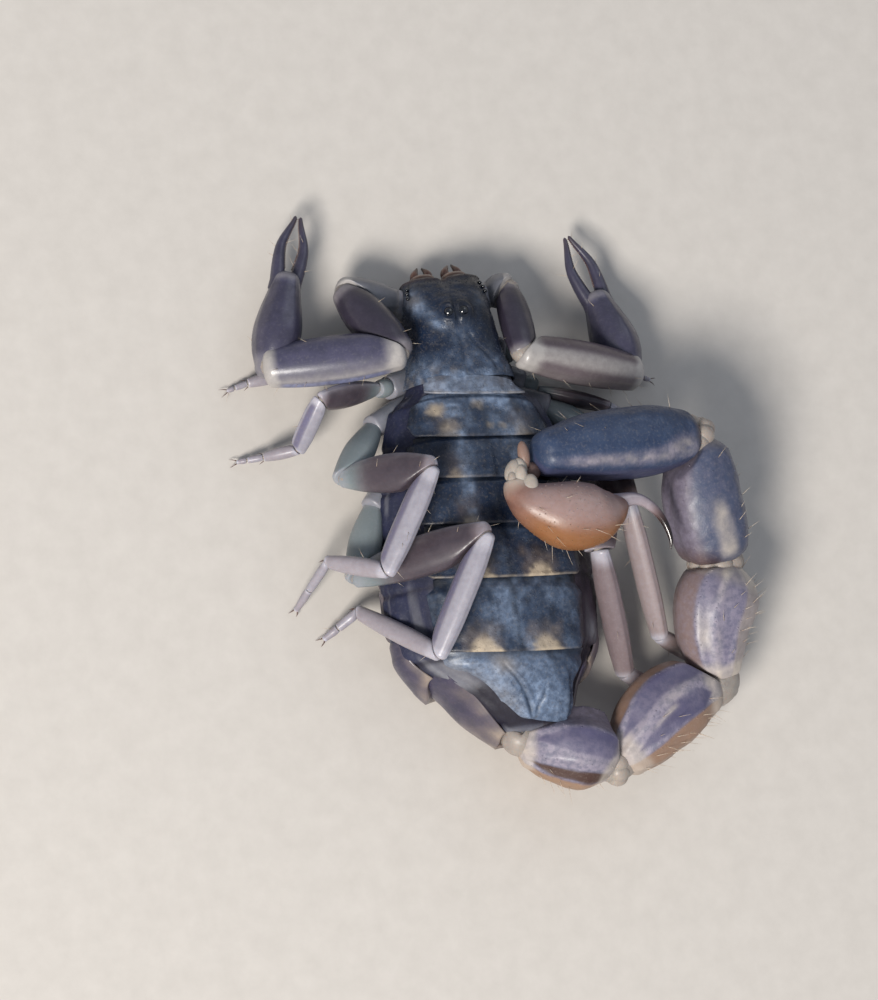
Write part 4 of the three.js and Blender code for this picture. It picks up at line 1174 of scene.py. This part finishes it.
def underside():
    """The fixed first joints of the limbs in two rows, the breast plate and the flap behind it."""
    shape = Shape()
    rows = [(joints[0], int(name[-1])) for name, joints in LEGS.items()]
    rows += [(joints[0], 0) for joints in PALPS.values()]
    for hip, order in rows:
        side = math.copysign(1, hip[0])
        root = np.array([side * (0.30 if order > 1 else 0.16), 6.25 - 0.52 * order, 0.56])
        hip = np.array(hip)
        thick = 0.34 if order else 0.40
        segment(shape, root, hip + unit(hip - root) * 0.05, [0.22, thick, thick + 0.02, 0.33], 0.92,
                (0, 0, 1), sides=32, power=2.6, reach=0.35,
                relief=lambda t, a: 0.03 * hump(turned(a, 150), 0, 14) + 0.03 * hump(turned(a, 210), 0, 14),
                marks={"pale": lambda t, a: 0.55 * hump(turned(a, 180), 0, 50) + 0.3 * smooth(t, 0.85, 1.0),
                       "green": 0.35, "hairy": lambda t, a: 0.10 * hump(turned(a, 180), 0, 60)})
    breast = [(0.0, 5.35, 0.34), (0.0, 5.0, 0.30), (0.0, 4.6, 0.30), (0.0, 4.3, 0.33)]
    share = np.linspace(0, 1, 30)
    dome = np.clip(1 - (2 * share - 1) ** 6, 0.02, 1) ** 0.5
    sweep(shape, through(breast, share), 0.10 * dome, through([0.12, 0.26, 0.30, 0.22], share) * dome,
          (0, 0, 1), 28, 2.4, marks={"pale": 0.5})
    for sign in (-1, 1):
        flap = [(sign * 0.22, 4.22, 0.36), (sign * 0.24, 4.0, 0.32), (sign * 0.24, 3.74, 0.36)]
        sweep(shape, through(flap, share), 0.10 * dome, 0.22 * dome, (0, 0, 1), 28, 2.4,
              marks={"pale": 0.6, "warm": 0.2})
    # The head's own floor, closing the space above the coxae.
    y = np.linspace(7.2, 3.9, 70)[:, None]
    rows = trunk_at(y, np.linspace(-1, 1, 121)[None, :-1])
    middle = np.array([0.0, 0, 1.45]) + np.array([0, 1, 0]) * y[..., None]
    close = np.minimum(smooth(y, 7.22, 6.8), smooth(y, 3.85, 4.3))[..., None]
    rows = middle + (rows - middle) * (0.90 * close + 0.02)
    rows[..., 2] = np.maximum(rows[..., 2], 0.45)
    shape.grid(lean(rows)[:, ::-1], {"warm": 0.3, "dark": 0.6})
    return shape


finish_piece(underside().build("coxae_and_breast_plate", limb_horn), "limb_cuticle",
             "prosoma_underside")


def comb(side, sign):
    """A sense comb under the trunk: three joined rods along a plate, and a row of teeth."""
    root, tip = (np.array([sign * p[0], p[1], 0.20]) for p in (COMB["root"], COMB["tip"]))
    along = unit(tip - root)
    rearward = unit(np.array([along[1], -along[0], 0]) * sign)
    share = np.linspace(0, 1, 60)
    dome = np.clip(1 - (2 * share - 1) ** 10, 0.02, 1) ** 0.5
    taper = 1 - 0.4 * share
    beads = 1 + 0.10 * np.cos(share * 2 * math.pi * 9)
    shape = Shape()
    for back, size in ((0.06, 0.10), (0.20, 0.10), (0.33, 0.085)):
        path = root + np.outer(share, tip - root) + np.outer(back * taper, rearward)
        sweep(shape, path, 0.075 * dome * taper * beads, size * dome * taper, (0, 0, 1), 20, 2.3,
              marks={"pale": 0.5, "hairy": 0.3})
    places = (np.arange(COMB["teeth"]) + 0.5) / COMB["teeth"]
    spots = root + np.outer(places, tip - root) + np.outer((1 - 0.4 * places) * 0.52, rearward)
    ways = np.tile(rearward - 0.25 * along, (len(places), 1))
    row = teeth(f"comb_teeth_{side}", spots, ways, 1 - 0.35 * places, (0.042, 0.19, 0.055), joint_skin)
    for piece in (shape.build(f"comb_{side}", joint_skin), row):
        finish_piece(piece, "soft_membrane", f"pecten_{side}")


for side, sign in SIDES:
    comb(side, sign)

# ---------------------------------------------------------------- tail


def tail_back(a, b, degrees_in):
    """Which way a tail ring's back faces: up, turned towards the inside of the curl."""
    up = np.array([0, 0, 1.0])
    inside = unit(np.cross(up, np.array(b) - np.array(a)))
    angle = math.radians(degrees_in)
    return up * math.cos(angle) + inside * math.sin(angle)


# Edges of the two dark patches on each side of tail segments 1 to 3, in degrees from mid-back:
# the keels run along them, as they do on the two segments behind. Then where along the segment
# the patches open and close.
PATCHES = [(29, 67, 95, 114), (52, 79, 96, 125), (65, 86, 95, 124), (38, 74, 98, 126), (38, 74, 98, 126)]
LEAVES = [(0.10, 0.62, 0.92, 0.82), (0.08, 0.45, 0.90, 0.74), (0.10, 0.62, 1.0, 0.86)]
KEEL_STRENGTH = [1.0, 1.0, 0.8, 0.3, 0.1]
# How dark the patches of segments 1 to 3 are, how brown their backs and their undersides, and how
# pale the line between the patches.
PATCH_DARK, INNER_BROWN, OUTER_BROWN = [1.0, 0.92, 0.42], [0.25, 0.85, 0.60], [0.95, 0.9, 0.40]
KEEL_PALE = [0.22, 0.22, 0.30]


def away(angle):
    """Degrees from mid-back on either side."""
    return np.abs(turned(angle, 0))


def tail_segment(number):
    """One of the five rings: keels between dark patches on three, the last one round and pitted."""
    sizes, wide, degrees_in, arch = TAIL_PARTS[number - 1]
    a, b = TAIL[number - 1], TAIL[number]
    before = TAIL[number - 2] if number > 1 else None
    after = TAIL[number + 1] if number < 5 else None
    keeled, last = number < 4, number == 5
    low, high, low_2, high_2 = PATCHES[number - 1]
    keel = (high + low_2) / 2
    own = number - 1 if keeled else None

    def speckle(t, side, size, seed, stretch=1.0):
        return grain(np.stack(np.broadcast_arrays(t * 3.3 / stretch, side / 60, number), -1), size, seed)

    def relief(t, a_):
        side = away(a_)
        keels = 0.055 * hump(side, low, 8) + 0.050 * hump(side, keel, 9)
        keels = keels + 0.045 * hump(side, high_2 + 3, 8) + 0.03 * hump(side, 160, 9)
        furrow = -0.08 * hump(side, 0, 18)
        if last:
            furrow = -0.10 * hump(side, 0, 30) * smooth(t, 0.0, 0.25)
        knuckles = np.abs(np.cos(np.radians(side * 3.5))) * (smooth(t, 0.16, 0.06) + smooth(t, 0.86, 0.95))
        rough = 0.012 * speckle(t, side, 0.25, 12)
        return KEEL_STRENGTH[number - 1] * keels + furrow + rough + 0.05 * knuckles

    def patch(t, side, start, end, opens=LEAVES[min(number, 3) - 1]):
        leaf = smooth(t, opens[0], opens[1]) ** 0.7 * smooth(t, opens[2], opens[3])
        middle, reach = (start + end) / 2, (end - start) / 2
        frayed = 2.5 * speckle(t, side, 0.3, 16, 2.0)
        return smooth(np.abs(side - middle) - reach * leaf + frayed, 3.0, -3.0) * smooth(leaf, 0.02, 0.2)

    def hook(t, side):
        """A painted highlight: the pale curl inside the outer patch of the second ring."""
        return between(side, 97, 104, 3) * between(t, 0.28, 0.54, 0.05)

    def dark(t, a_):
        side = away(a_)
        # On the last ring the darker back, which faces the bulb, is painted shade between ring and bulb.
        if last:
            return 0.55 * smooth(side, 38, 20) * smooth(t, 0.04, 0.12)
        if not keeled:
            return 0.15 * smooth(side, 60, 30)
        patches = patch(t, side, low, high)
        if number > 1:
            patches = patches + patch(t, side, low_2, high_2)
        if number == 2:
            patches = patches * (1 - 0.9 * hook(t, side))
        return PATCH_DARK[own] * patches * (0.85 + 0.35 * speckle(t, side, 0.3, 6, 2.0))

    def brown(t, a_):
        side = away(a_)
        if number == 1:
            return patch(t, side, low_2, high_2, (0.02, 0.40, 0.98, 0.86))
        if number == 2:
            worn = between(t, 0.34, 0.52, 0.06) * between(side, 102, 116, 4)
            return 0.5 * patch(t, side, low_2, high_2) * worn
        # On the fourth ring the brown at its near end is painted shade in the joint with the third ring.
        if number == 4:
            return 0.8 * smooth(t, 0.30, 0.05) * smooth(side, 104 - 120 * t, 70 - 120 * t)
        return 0.6 * smooth(t, 0.09, 0.02) * last

    def warm(t, a_):
        side = away(a_)
        if not keeled:
            return 0.25 * smooth(side, 60, 40) * (not last)
        inner = INNER_BROWN[own] * smooth(side, low + 1, low - 7)
        return np.clip(OUTER_BROWN[own] * smooth(side, high_2 - 1, high_2 + 5) + inner, 0, 1)

    def haze(t, a_):
        side = away(a_)
        if keeled:
            return 1 - warm(t, a_) - brown(t, a_)
        if not last:
            return (0.22 + 0.35 * smooth(side, 60, 36)) * (1 - brown(t, a_))
        # On the last ring a painted sheen, a highlight, runs along its flank.
        painted_sheen = between(side, 40, 62 + 26 * smooth(t, 0.40, 0.12), 9)
        painted_sheen = painted_sheen * rise_and_fall(t, 0.02, 0.12, 0.8, 1.05)
        return 0.62 * painted_sheen * (0.75 + 0.5 * speckle(t, side, 0.22, 9))

    def pale(t, a_):
        side = away(a_)
        if last:
            # The pale streaky edge on the last ring is a painted highlight on its flank; the pale near rim
            # is its own colour.
            edge = between(side, 46, 58 + 20 * smooth(t, 0.40, 0.1), 8)
            edge = edge * rise_and_fall(t, 0.04, 0.14, 0.75, 1.0)
            return edge * (0.20 + 0.22 * speckle(t, side, 0.12, 8)) + 0.5 * smooth(t, 0.03, 0.0)
        if not keeled:
            worn = between(side, 82 - 10 * t, 110 - 20 * t, 11) * rise_and_fall(t, 0.05, 0.15, 0.40, 0.62)
            worn = worn * (0.62 + 0.30 * smooth(t, 0.35, 0.15) + 0.4 * speckle(t, side, 0.40, 8))
            return 0.4 * smooth(t, 0.06, 0.0) * smooth(side, 70, 90) + 0.35 * smooth(t, 0.92, 1.0) + worn
        lumps = t + 0.03 * speckle(t, side, 0.3, 18)
        pale_ends = 0.62 * (smooth(lumps, 0.19, 0.11) + smooth(lumps, 0.81, 0.89))
        cloud = KEEL_PALE[own] * hump(side, keel, 10)
        if number == 2:
            cloud = cloud + 0.55 * hook(t, side)
        if number == 3:
            pale_ends = pale_ends + 0.40 * smooth(side, high_2, high_2 + 6)
            cloud = cloud + 0.55 * between(side, 66, 84, 4) * between(t, 0.26, 0.58, 0.08)
        return pale_ends + cloud * (0.7 + 0.9 * speckle(t, side, 0.25, 8, 2.5))

    def granular(t, a_):
        side = away(a_)
        lines = hump(side, low, 2.5) + 0.7 * hump(side, keel, 2.5) + 0.7 * hump(side, high_2 + 3, 3)
        return (0.35 if number == 4 else 1.0) * lines * rise_and_fall(t, 0.08, 0.16, 0.90, 0.96)

    marks = {"dark": dark, "pale": pale, "warm": warm, "green": brown, "haze": haze, "grain": granular,
             "hairy": lambda t, a_: (0.9 if keeled else 0.35) * smooth(away(a_), 95, 125)
             * rise_and_fall(t, 0.05, 0.15, 0.9, 1.0)}
    if last:
        marks["pitted"] = lambda t, a_: smooth(away(a_), 18, 34) * rise_and_fall(t, 0.04, 0.12, 0.90, 0.98)
    far_end, far_trim = (0.7, 0.22) if last else (1, 0.02)
    sides, step = (120, 0.035) if keeled else (200, 0.026)
    shape = Shape()
    segment(shape, a, b, sizes, wide, tail_back(a, b, degrees_in), before, after, sides=sides,
            step=step, power=2.35, relief=relief, marks=marks, reach=0.75, gap=0.04, far_end=far_end,
            arch=arch, trim=(sizes[0] * 0.75 - 0.04, sizes[-1] * 0.75 - far_trim))
    return shape


tail_shapes = {}
for number in range(1, 6):
    tail_shapes[number] = tail_segment(number)
    piece = tail_shapes[number].build(f"tail_segment_{number}", tail_horn)
    if number < 5:
        granulate(piece, 0.10, 0.014, 0.026, 50 + number, 0.8)
    else:
        piece.data = grown(piece, pitting, Spacing=0.13 * MM, Radius=0.04 * MM, Depth=0.012 * MM,
                           Seed=number, Finish=tail_horn)
    finish_piece(piece, "dark_cuticle", f"metasoma_{number}")


def limb_skin(shape, joints, sizes, wide=0.8):
    """The soft skin inside a limb or tail, which shows at the joints."""
    joints = np.array(joints, float)
    knots, girth = [], []
    for a, b, size in zip(joints, joints[1:], sizes):
        for share in (0.0, 0.2, 0.8):
            knots.append(a + (b - a) * share)
            girth.append(size * (0.72 if share else 0.80))
    knots.append(joints[-1])
    girth.append(sizes[-1] * 0.5)
    share = np.linspace(0, 1, 26 * (len(joints) - 1))
    path, size = through(knots, share), through(girth, share)
    up = unit(np.cross(joints[1] - joints[0], joints[2] - joints[1]) + np.array([0, 0, 1e-3]))
    sweep(shape, path, size * wide, size, up, 24, 2.0, marks={"pale": 0.3})


# Soft skin and pale knuckles at the tail's joints.
shape = Shape()
limb_skin(shape, [(0.1, -3.9, 1.4), *TAIL], [0.54, 0.60, 0.60, 0.62, 0.62, 0.44], 1.0)
for number in range(1, 6):
    joint = np.array(TAIL[number - 1])
    onwards = unit(np.array(TAIL[number]) - joint)
    behind = unit(joint - np.array(TAIL[number - 2])) if number > 1 else onwards
    axis = unit(onwards + behind)
    back = tail_back(joint - axis, joint + axis, TAIL_PARTS[number - 1][2])
    across = np.cross(axis, back)
    girth = max(TAIL_PARTS[number - 1][0][0], TAIL_PARTS[number - 2][0][-1] if number > 1 else 0)
    for turn in range(0, 360, 40):
        angle = math.radians(turn + 12 * number)
        out = back * math.cos(angle) + across * math.sin(angle)
        ball(shape, joint + out * 0.59 * girth, 0.12 + 0.16 * girth, (1, 1.2, 1.25), axis,
             {"pale": 0.45, "warm": 0.15}, 24)
# The membrane at the sharp bend, the rim of the vent at the tail's end, and the folds of skin
# that hold the bulb.
for place, radius, flat, way, marks in (
        ((5.30, 2.72, 3.25), 0.26, (1, 1, 1.5), (-1, 0.7, 0), {"pale": 0.5, "warm": 0.2}),
        ((0.46, 2.27, 3.84), 0.15, (1, 1, 2.3), (-0.05, 1, 0), {"warm": 0.75}),
        ((0.10, 1.90, 3.84), 0.20, (1, 0.8, 1.5), (0.5, 1, 0.1), {"pale": 0.7}),
        ((0.32, 1.96, 3.84), 0.19, (1, 0.9, 1.3), (-0.2, 1, 0.1), {"pale": 0.9}),
        ((0.24, 1.64, 3.92), 0.24, (1, 0.8, 1.6), (0.1, 1, 0.2), {"pale": 0.9}),
        ((0.06, 1.62, 3.90), 0.17, (1, 0.8, 1.6), (-0.1, 1, 0.1), {"pale": 0.6, "warm": 0.3}),
        ((0.36, 1.40, 4.10), 0.24, (1, 0.7, 1.5), (0.4, 1, 0.0), {"pale": 0.8, "warm": 0.1}),
        ((0.66, 1.86, 3.62), 0.24, (1, 1, 1.1), (1, 0.3, 0), {"warm": 1.0, "dark": 0.5})):
    ball(shape, place, radius, flat, way, marks, 24)
finish_piece(shape.build("tail_skin", joint_skin), "soft_membrane")


def under_bulb(a):
    """How far round towards the bulb's rounded side, 0 to 1."""
    return smooth(np.sin(a), 0.05, 0.85)


# The poison bulb: flat above where it folds against the tail, round below.
shape = Shape()
share = np.linspace(0, 1, 150)
cap = np.clip(1 - np.clip((0.04 - share) / 0.04, 0, 1) ** 2, 0.02, 1) ** 0.5
size = through(BULB_RADII, share) * cap
sweep(shape, through(BULB_PATH, share), size, size, (0, 0, 1), 120, 2.1,
      relief=lambda t, a: 0.04 * hump(turned(a, 90), 0, 40) * hump(t, 0.55, 0.2)
      - 0.020 * hump(turned(a, 60), 0, 8) * hump(t, 0.5, 0.25)
      - 0.015 * hump(turned(a, 125), 0, 8) * hump(t, 0.5, 0.25),
      marks={"warm": lambda t, a: 0.95 * under_bulb(a) * smooth(t, 0.12, 0.35),
             "green": lambda t, a: 0.8 * smooth(t, 0.10, 0.03),
             "pale": lambda t, a: 0.85 * (1 - under_bulb(a)) * rise_and_fall(t, 0.04, 0.22, 0.85, 1.05),
             "dark": lambda t, a: 0.15 * hump(t, 0.14, 0.04) + 0.3 * smooth(t, 0.95, 1.0),
             "grain": lambda t, a: 0.5 * rise_and_fall(t, 0.12, 0.25, 0.75, 0.9),
             "hairy": lambda t, a: 0.30 * smooth(t, 0.15, 0.3)})
tail_shapes["bulb"] = shape
piece = granulate(shape.build("poison_bulb", bulb_horn), 0.11, 0.012, 0.024, 77, 0.6)
finish_piece(piece, "telson_cuticle", "telson_vesicle")
shape = Shape()
share = np.linspace(0, 1, 100)
size = through(STING_RADII, share)
sweep(shape, through(STING_PATH, share), size, size, (0, 0, 1), 48,
      marks={"warm": 0.15, "dark": lambda t, a: smooth(t, 0.42, 0.74),
             "pale": lambda t, a: smooth(t, 0.70, 0.35)})
finish_piece(shape.build("sting", tip_horn), "aculeus_cuticle", "telson_aculeus")

# ---------------------------------------------------------------- legs


def leg_marks(pale=0.0, dark=0.0, warm=0.0, green=0.0, haze=0.0, stripe=None, hairy=0.25, keel=0.0,
              ends=0.7, band=None, dark_from=(0.04, 0.14)):
    """Marks of one part of a limb: its colours, a darker stripe along it, a pale band and pale
    ends. The stripe and the band are given by their middle and half width in degrees, and
    `dark_from` says where along the part the dark sets in."""
    def paleness(t, a):
        tips = ends * (smooth(t, 0.14, 0.0) + smooth(t, 0.94, 1.02))
        low = keel * hump(turned(a, 180), 0, 34)
        if band is not None:
            low = low + 0.7 * smooth(np.abs(turned(a, band[0])), band[1] + 12, band[1] - 12)
        whole = np.clip(pale + tips + low, 0, 1)
        return whole if stripe is None else whole * (1 - 0.9 * haziness(t, a))

    def darkness(t, a):
        body = smooth(t, *dark_from) * smooth(t, 0.99, 0.90)
        return dark * (1 - 0.9 * keel * hump(turned(a, 180), 0, 32)) * body

    def haziness(t, a):
        line = 0.0
        if stripe is not None:
            line = smooth(np.abs(turned(a, stripe[0])), stripe[1] + 9, stripe[1] - 9)
        return np.clip(haze + line * rise_and_fall(t, 0.02, 0.14, 0.9, 1.0), 0, 1)

    return {"pale": paleness, "dark": darkness, "warm": warm, "green": green, "haze": haziness,
            "hairy": lambda t, a: hairy * (0.3 + hump(turned(a, 180), 0, 50)) * smooth(t, 0.0, 0.1)}


LEG_FINISH = {
    "trochanter": {"green": 0.95, "pale": 0.10, "hairy": 0.1, "ends": 0.35},
    "femur": {"warm": lambda t, a: 0.35 * smooth(t, 0.10, 0.40), "dark": 0.85, "dark_from": (0.05, 0.42),
              "green": lambda t, a: 0.85 * smooth(t, 0.42, 0.10), "keel": 0.8, "ends": 0.30},
    "patella": {"pale": 0.62, "stripe": (-62, 23), "ends": 0.9},
    "tibia": {"warm": 0.40, "pale": 0.50},
    "basitarsus": {"pale": 0.60, "warm": 0.2, "hairy": 0.6},
    "telotarsus": {"pale": 0.50, "warm": 0.3, "hairy": 0.6},
}
# The right hind legs are painted browner: the brown stands in for light shining through them.
BROWN_LIT_THROUGH = {"right_3": 0.9, "right_4": 0.45}
# The parts that each of a leg's three solids holds.
LEG_NODES = {"upper": ("trochanter", "femur"), "patella": ("patella",),
             "foot": ("tibia", "basitarsus", "telotarsus")}
ANKLE = 0.55               # share of the way from the tibia's end to the claws


def limb_keels(t, a):
    """Low ridges along the upper and lower edges of a limb part."""
    side = away(a)
    return 0.018 * hump(side, 16, 8) + 0.018 * hump(side, 164, 8) + 0.010 * hump(side, 90, 12)


def claw(shape, root, way, length, size):
    """A claw that leaves along `way` and hooks down."""
    up = np.array([0, 0, 1.0])
    knots = [root, root + way * length * 0.55 + up * length * 0.10, root + way * length - up * length * 0.28]
    share = np.linspace(0, 1, 14)
    girth = size * (1.02 - share ** 1.5)
    sweep(shape, through(knots, share), girth, girth * 0.8, up, 10, marks={"warm": 0.3, "dark": 0.35})


leg_shapes = []


def leg(name, joints):
    scale = LEG_SCALE[name[-1]]
    left = name.startswith("left")
    points = [np.array(p, float) for p in joints]
    foot = unit(points[5] - points[4])
    path = points[:5] + [points[4] + (points[5] - points[4]) * ANKLE, points[5] - foot * 0.10]
    parts = list(LEG_PARTS)
    for node, own in LEG_NODES.items():
        shape = Shape()
        for part in own:
            k = parts.index(part)
            sizes, wide = LEG_PARTS[part]
            bend = points[k + 2] if k + 2 < len(points) else points[k - 1]
            up = bend - path[k] if k < 4 else np.array([0, 0, 1.0])
            if not left and part in ("femur", "patella"):
                up = up + np.array([0, 0, 5.0])
            finish = dict(LEG_FINISH[part])
            if not left and "stripe" in finish:
                finish["stripe"] = (-finish["stripe"][0], finish["stripe"][1])
            brown = BROWN_LIT_THROUGH.get(name, 0)
            if brown and part != "trochanter":
                finish["warm"] = brown
                finish["pale"] = finish.get("pale", 0) * (1.15 * brown - 0.4)
                finish.pop("stripe", None)
            segment(shape, path[k], path[k + 1], [s * scale for s in sizes], wide, up,
                    path[k - 1] if k else None, path[k + 2] if k + 2 < len(path) else None, step=0.045,
                    relief=limb_keels if part in ("femur", "patella") else None,
                    marks=leg_marks(**finish), gap=0.02)
        shape.keep_above_floor()
        leg_shapes.append(shape)
        finish_piece(shape.build(f"leg_{name}_{node}_shell", limb_horn), "limb_cuticle",
                     f"leg_{name}_{node}")
    # Two hooked claws on the foot, and spurs at the ankle.
    tips = Shape()
    side = unit(np.cross(foot, (0, 0, 1)))
    for aside in (-side, side):
        claw(tips, points[5] - foot * 0.08 + aside * 0.035, unit(foot + aside * 0.40), 0.20, 0.026 * scale)
        spur = path[4] + aside * LEG_PARTS["tibia"][0][-1] * scale * 0.7 - np.array([0, 0, 0.06])
        claw(tips, spur, unit(foot + aside * 0.6 - np.array([0, 0, 0.5])), 0.15, 0.024 * scale)
    tips.keep_above_floor()
    finish_piece(tips.build(f"leg_{name}_claws", tip_horn), "aculeus_cuticle")
    skin = Shape()
    ends = [sizes for sizes, wide in LEG_PARTS.values()]
    girth = [ends[0][0]] + [min(a[-1], b[0]) for a, b in zip(ends, ends[1:])]
    limb_skin(skin, path, [g * scale * 0.80 for g in girth])
    skin.keep_above_floor()
    finish_piece(skin.build(f"leg_{name}_skin", joint_skin), "soft_membrane")


for name, joints in LEGS.items():
    leg(name, joints)

# ---------------------------------------------------------------- pedipalps

PALP_FINISH = {
    "trochanter": {"pale": 0.20, "green": 0.3},
    "femur": {"warm": 0.3, "dark": 0.85, "ends": 0.35},
    "patella": {"keel": 0.8, "ends": 1.0, "stripe": (150, 40)},
}
RIGHT_PATELLA = {"warm": 0.6, "stripe": None, "keel": 0.25, "band": (118, 22)}
RIGHT_SCALE = {"trochanter": 0.95, "femur": 0.80, "patella": 0.95}
HAND_KEELS = (20, 70, 120, 200, 290)
FINGER_TEETH = 30
TOOTH = (0.026, 0.04, 0.026)


def finger(shape, joints, sign, inner):
    """One finger from inside the palm to its tip, on the outer (-1) or inner (+1) side."""
    palm_end, tip = joints[4], joints[5]
    along = tip - palm_end
    body_way = np.array([-sign, 0, 0.0])
    across = unit(body_way - along * (body_way @ along) / (along @ along)) * inner
    share = np.linspace(0, 1, 70)
    run = -0.14 + 1.14 * share
    bow = FINGER["apart"] * (1 - 0.72 * smooth(run, 0.45, 1.0))
    bow = bow + FINGER["bow"] * np.sin(np.pi * np.clip(run, 0, 1))
    path = palm_end + np.outer(run, along) + np.outer(bow, across)
    size = FINGER["base"] + (FINGER["tip"] - FINGER["base"]) * share ** 1.3
    dome = np.sqrt(np.clip(1 - ((share - 0.97) / 0.03).clip(0, 0.98) ** 2, 0.03, 1))
    sweep(shape, path, size * 0.92 * dome, size * 0.85 * dome, (0, 0, 1), 32,
          marks={"dark": 0.55, "warm": lambda t, a: 0.5 * smooth(t, 0.7, 1.0),
                 "hairy": lambda t, a: 0.5 * smooth(t, 0.2, 0.4)})
    return path, size, -across


def pedipalp(side, joints):
    points = [np.array(p, float) for p in joints]
    for k, part in enumerate(PALP_PARTS):
        sizes, wide = PALP_PARTS[part]
        finish = dict(PALP_FINISH[part])
        if side == "right":
            sizes = [s * RIGHT_SCALE[part] for s in sizes]
            finish.update(RIGHT_PATELLA if part == "patella" else {})
        shape = Shape()
        segment(shape, points[k], points[k + 1], sizes, wide, points[k + 2] - points[k],
                points[k - 1] if k else None, points[k + 2] if k < 2 else None, sides=56, step=0.035,
                relief=limb_keels, marks=leg_marks(**finish))
        leg_shapes.append(shape)
        finish_piece(shape.build(f"pedipalp_{side}_{part}_shell", palp_horn), "limb_cuticle",
                     f"pedipalp_{side}_{part}")
    sizes, wide = PALM
    hand = Shape()
    base = points[3] + unit(points[4] - points[3]) * 0.05 - np.array([0, 0, 0.22])
    segment(hand, base, points[4], sizes, wide, points[5] - points[3] + np.array([0, 0, 3.0]),
            sides=64, step=0.03, reach=0.6,
            relief=lambda t, a: 0.02 * sum(hump(turned(a, p), 0, 9) for p in HAND_KEELS),
            marks=leg_marks(dark=0.45, ends=0.3))
    for place, inner, shape in (("outer", -1, hand), ("inner", 1, Shape())):
        path, size, bite = finger(shape, points, -1 if side == "left" else 1, inner)
        leg_shapes.append(shape)
        if place == "inner":
            finish_piece(shape.build(f"pedipalp_{side}_moving_finger", palp_horn), "limb_cuticle",
                         f"pedipalp_{side}_movable_finger")
        places = np.linspace(0.30, 0.96, FINGER_TEETH)
        spots = through(path, places) + through(size, places)[:, None] * 0.84 * bite
        row = teeth(f"finger_teeth_{side}_{place}", spots, np.tile(bite, (FINGER_TEETH, 1)),
                    1 - 0.4 * places, TOOTH, tip_horn)
        finish_piece(row, "aculeus_cuticle")
    finish_piece(hand.build(f"pedipalp_{side}_hand_shell", palp_horn), "limb_cuticle",
                 f"pedipalp_{side}_hand")
    skin = Shape()
    limb_skin(skin, points[:5], [0.34, 0.36, 0.40, 0.38], 0.9)
    finish_piece(skin.build(f"pedipalp_{side}_skin", joint_skin), "soft_membrane")


for side, joints in PALPS.items():
    pedipalp(side, joints)

# ---------------------------------------------------------------- bristles


def bristles(name, shapes, spacing, shortest, longest, thick, seed, slot):
    """Bristles of several surfaces as one coat piece."""
    coat = Shape().merge(shapes).build(name, bristle_horn)
    coat.data = grown(coat, bristling, Spacing=spacing * MM, Shortest=shortest * MM,
                      Longest=longest * MM, Thickness=thick * MM, Seed=seed, Finish=bristle_horn)
    finish_piece(coat, slot)


bristles("limb_bristles", leg_shapes, 0.26, 0.16, 0.34, 0.008, 5, "limb_cuticle")
bristles("tail_bristles", tail_shapes.values(), 0.30, 0.18, 0.50, 0.009, 6, "dark_cuticle")

# ---------------------------------------------------------------- floor and light

FLOOR_REACH = 0.6          # metres from the middle to each edge of the floor

floor_mesh = bpy.data.meshes.new("floor")
floor_mesh.from_pydata([(x * FLOOR_REACH, y * FLOOR_REACH, 0)
                        for x, y in ((-1, -1), (1, -1), (1, 1), (-1, 1))], [], [(0, 1, 2, 3)])
floor_mesh.materials.append(plain_finish("matt_paper", 0.6, 5, 0.3, 0.7, "#d2ccc5", "#cbc5be",
                                         Roughness=0.9))
floor = placed("floor", floor_mesh)


def softbox(name, place, size, power, tint):
    """A square lamp that faces the animal; its place is in millimetres from it."""
    data = bpy.data.lights.new(name, "AREA")
    data.size, data.energy, data.color = size * MM, power, tint
    lamp = placed(name, data)
    lamp.location = Vector(place) * MM
    lamp.rotation_euler = (-Vector(place)).to_track_quat("-Z", "Y").to_euler()


softbox("key_light", (-110, -85, 130), 55, 0.42, (1.0, 0.96, 0.90))
softbox("fill_light", (90, 110, 130), 120, 0.04, (0.88, 0.94, 1.0))
world = bpy.data.worlds.new("studio")
world.use_nodes = True
constants(world.node_tree.nodes["Background"], Color=(0.78, 0.86, 1.0, 1.0), Strength=0.34)
bpy.context.scene.world = world
bpy.context.scene.view_settings.view_transform = "Standard"

bpy.context.view_layer.update()
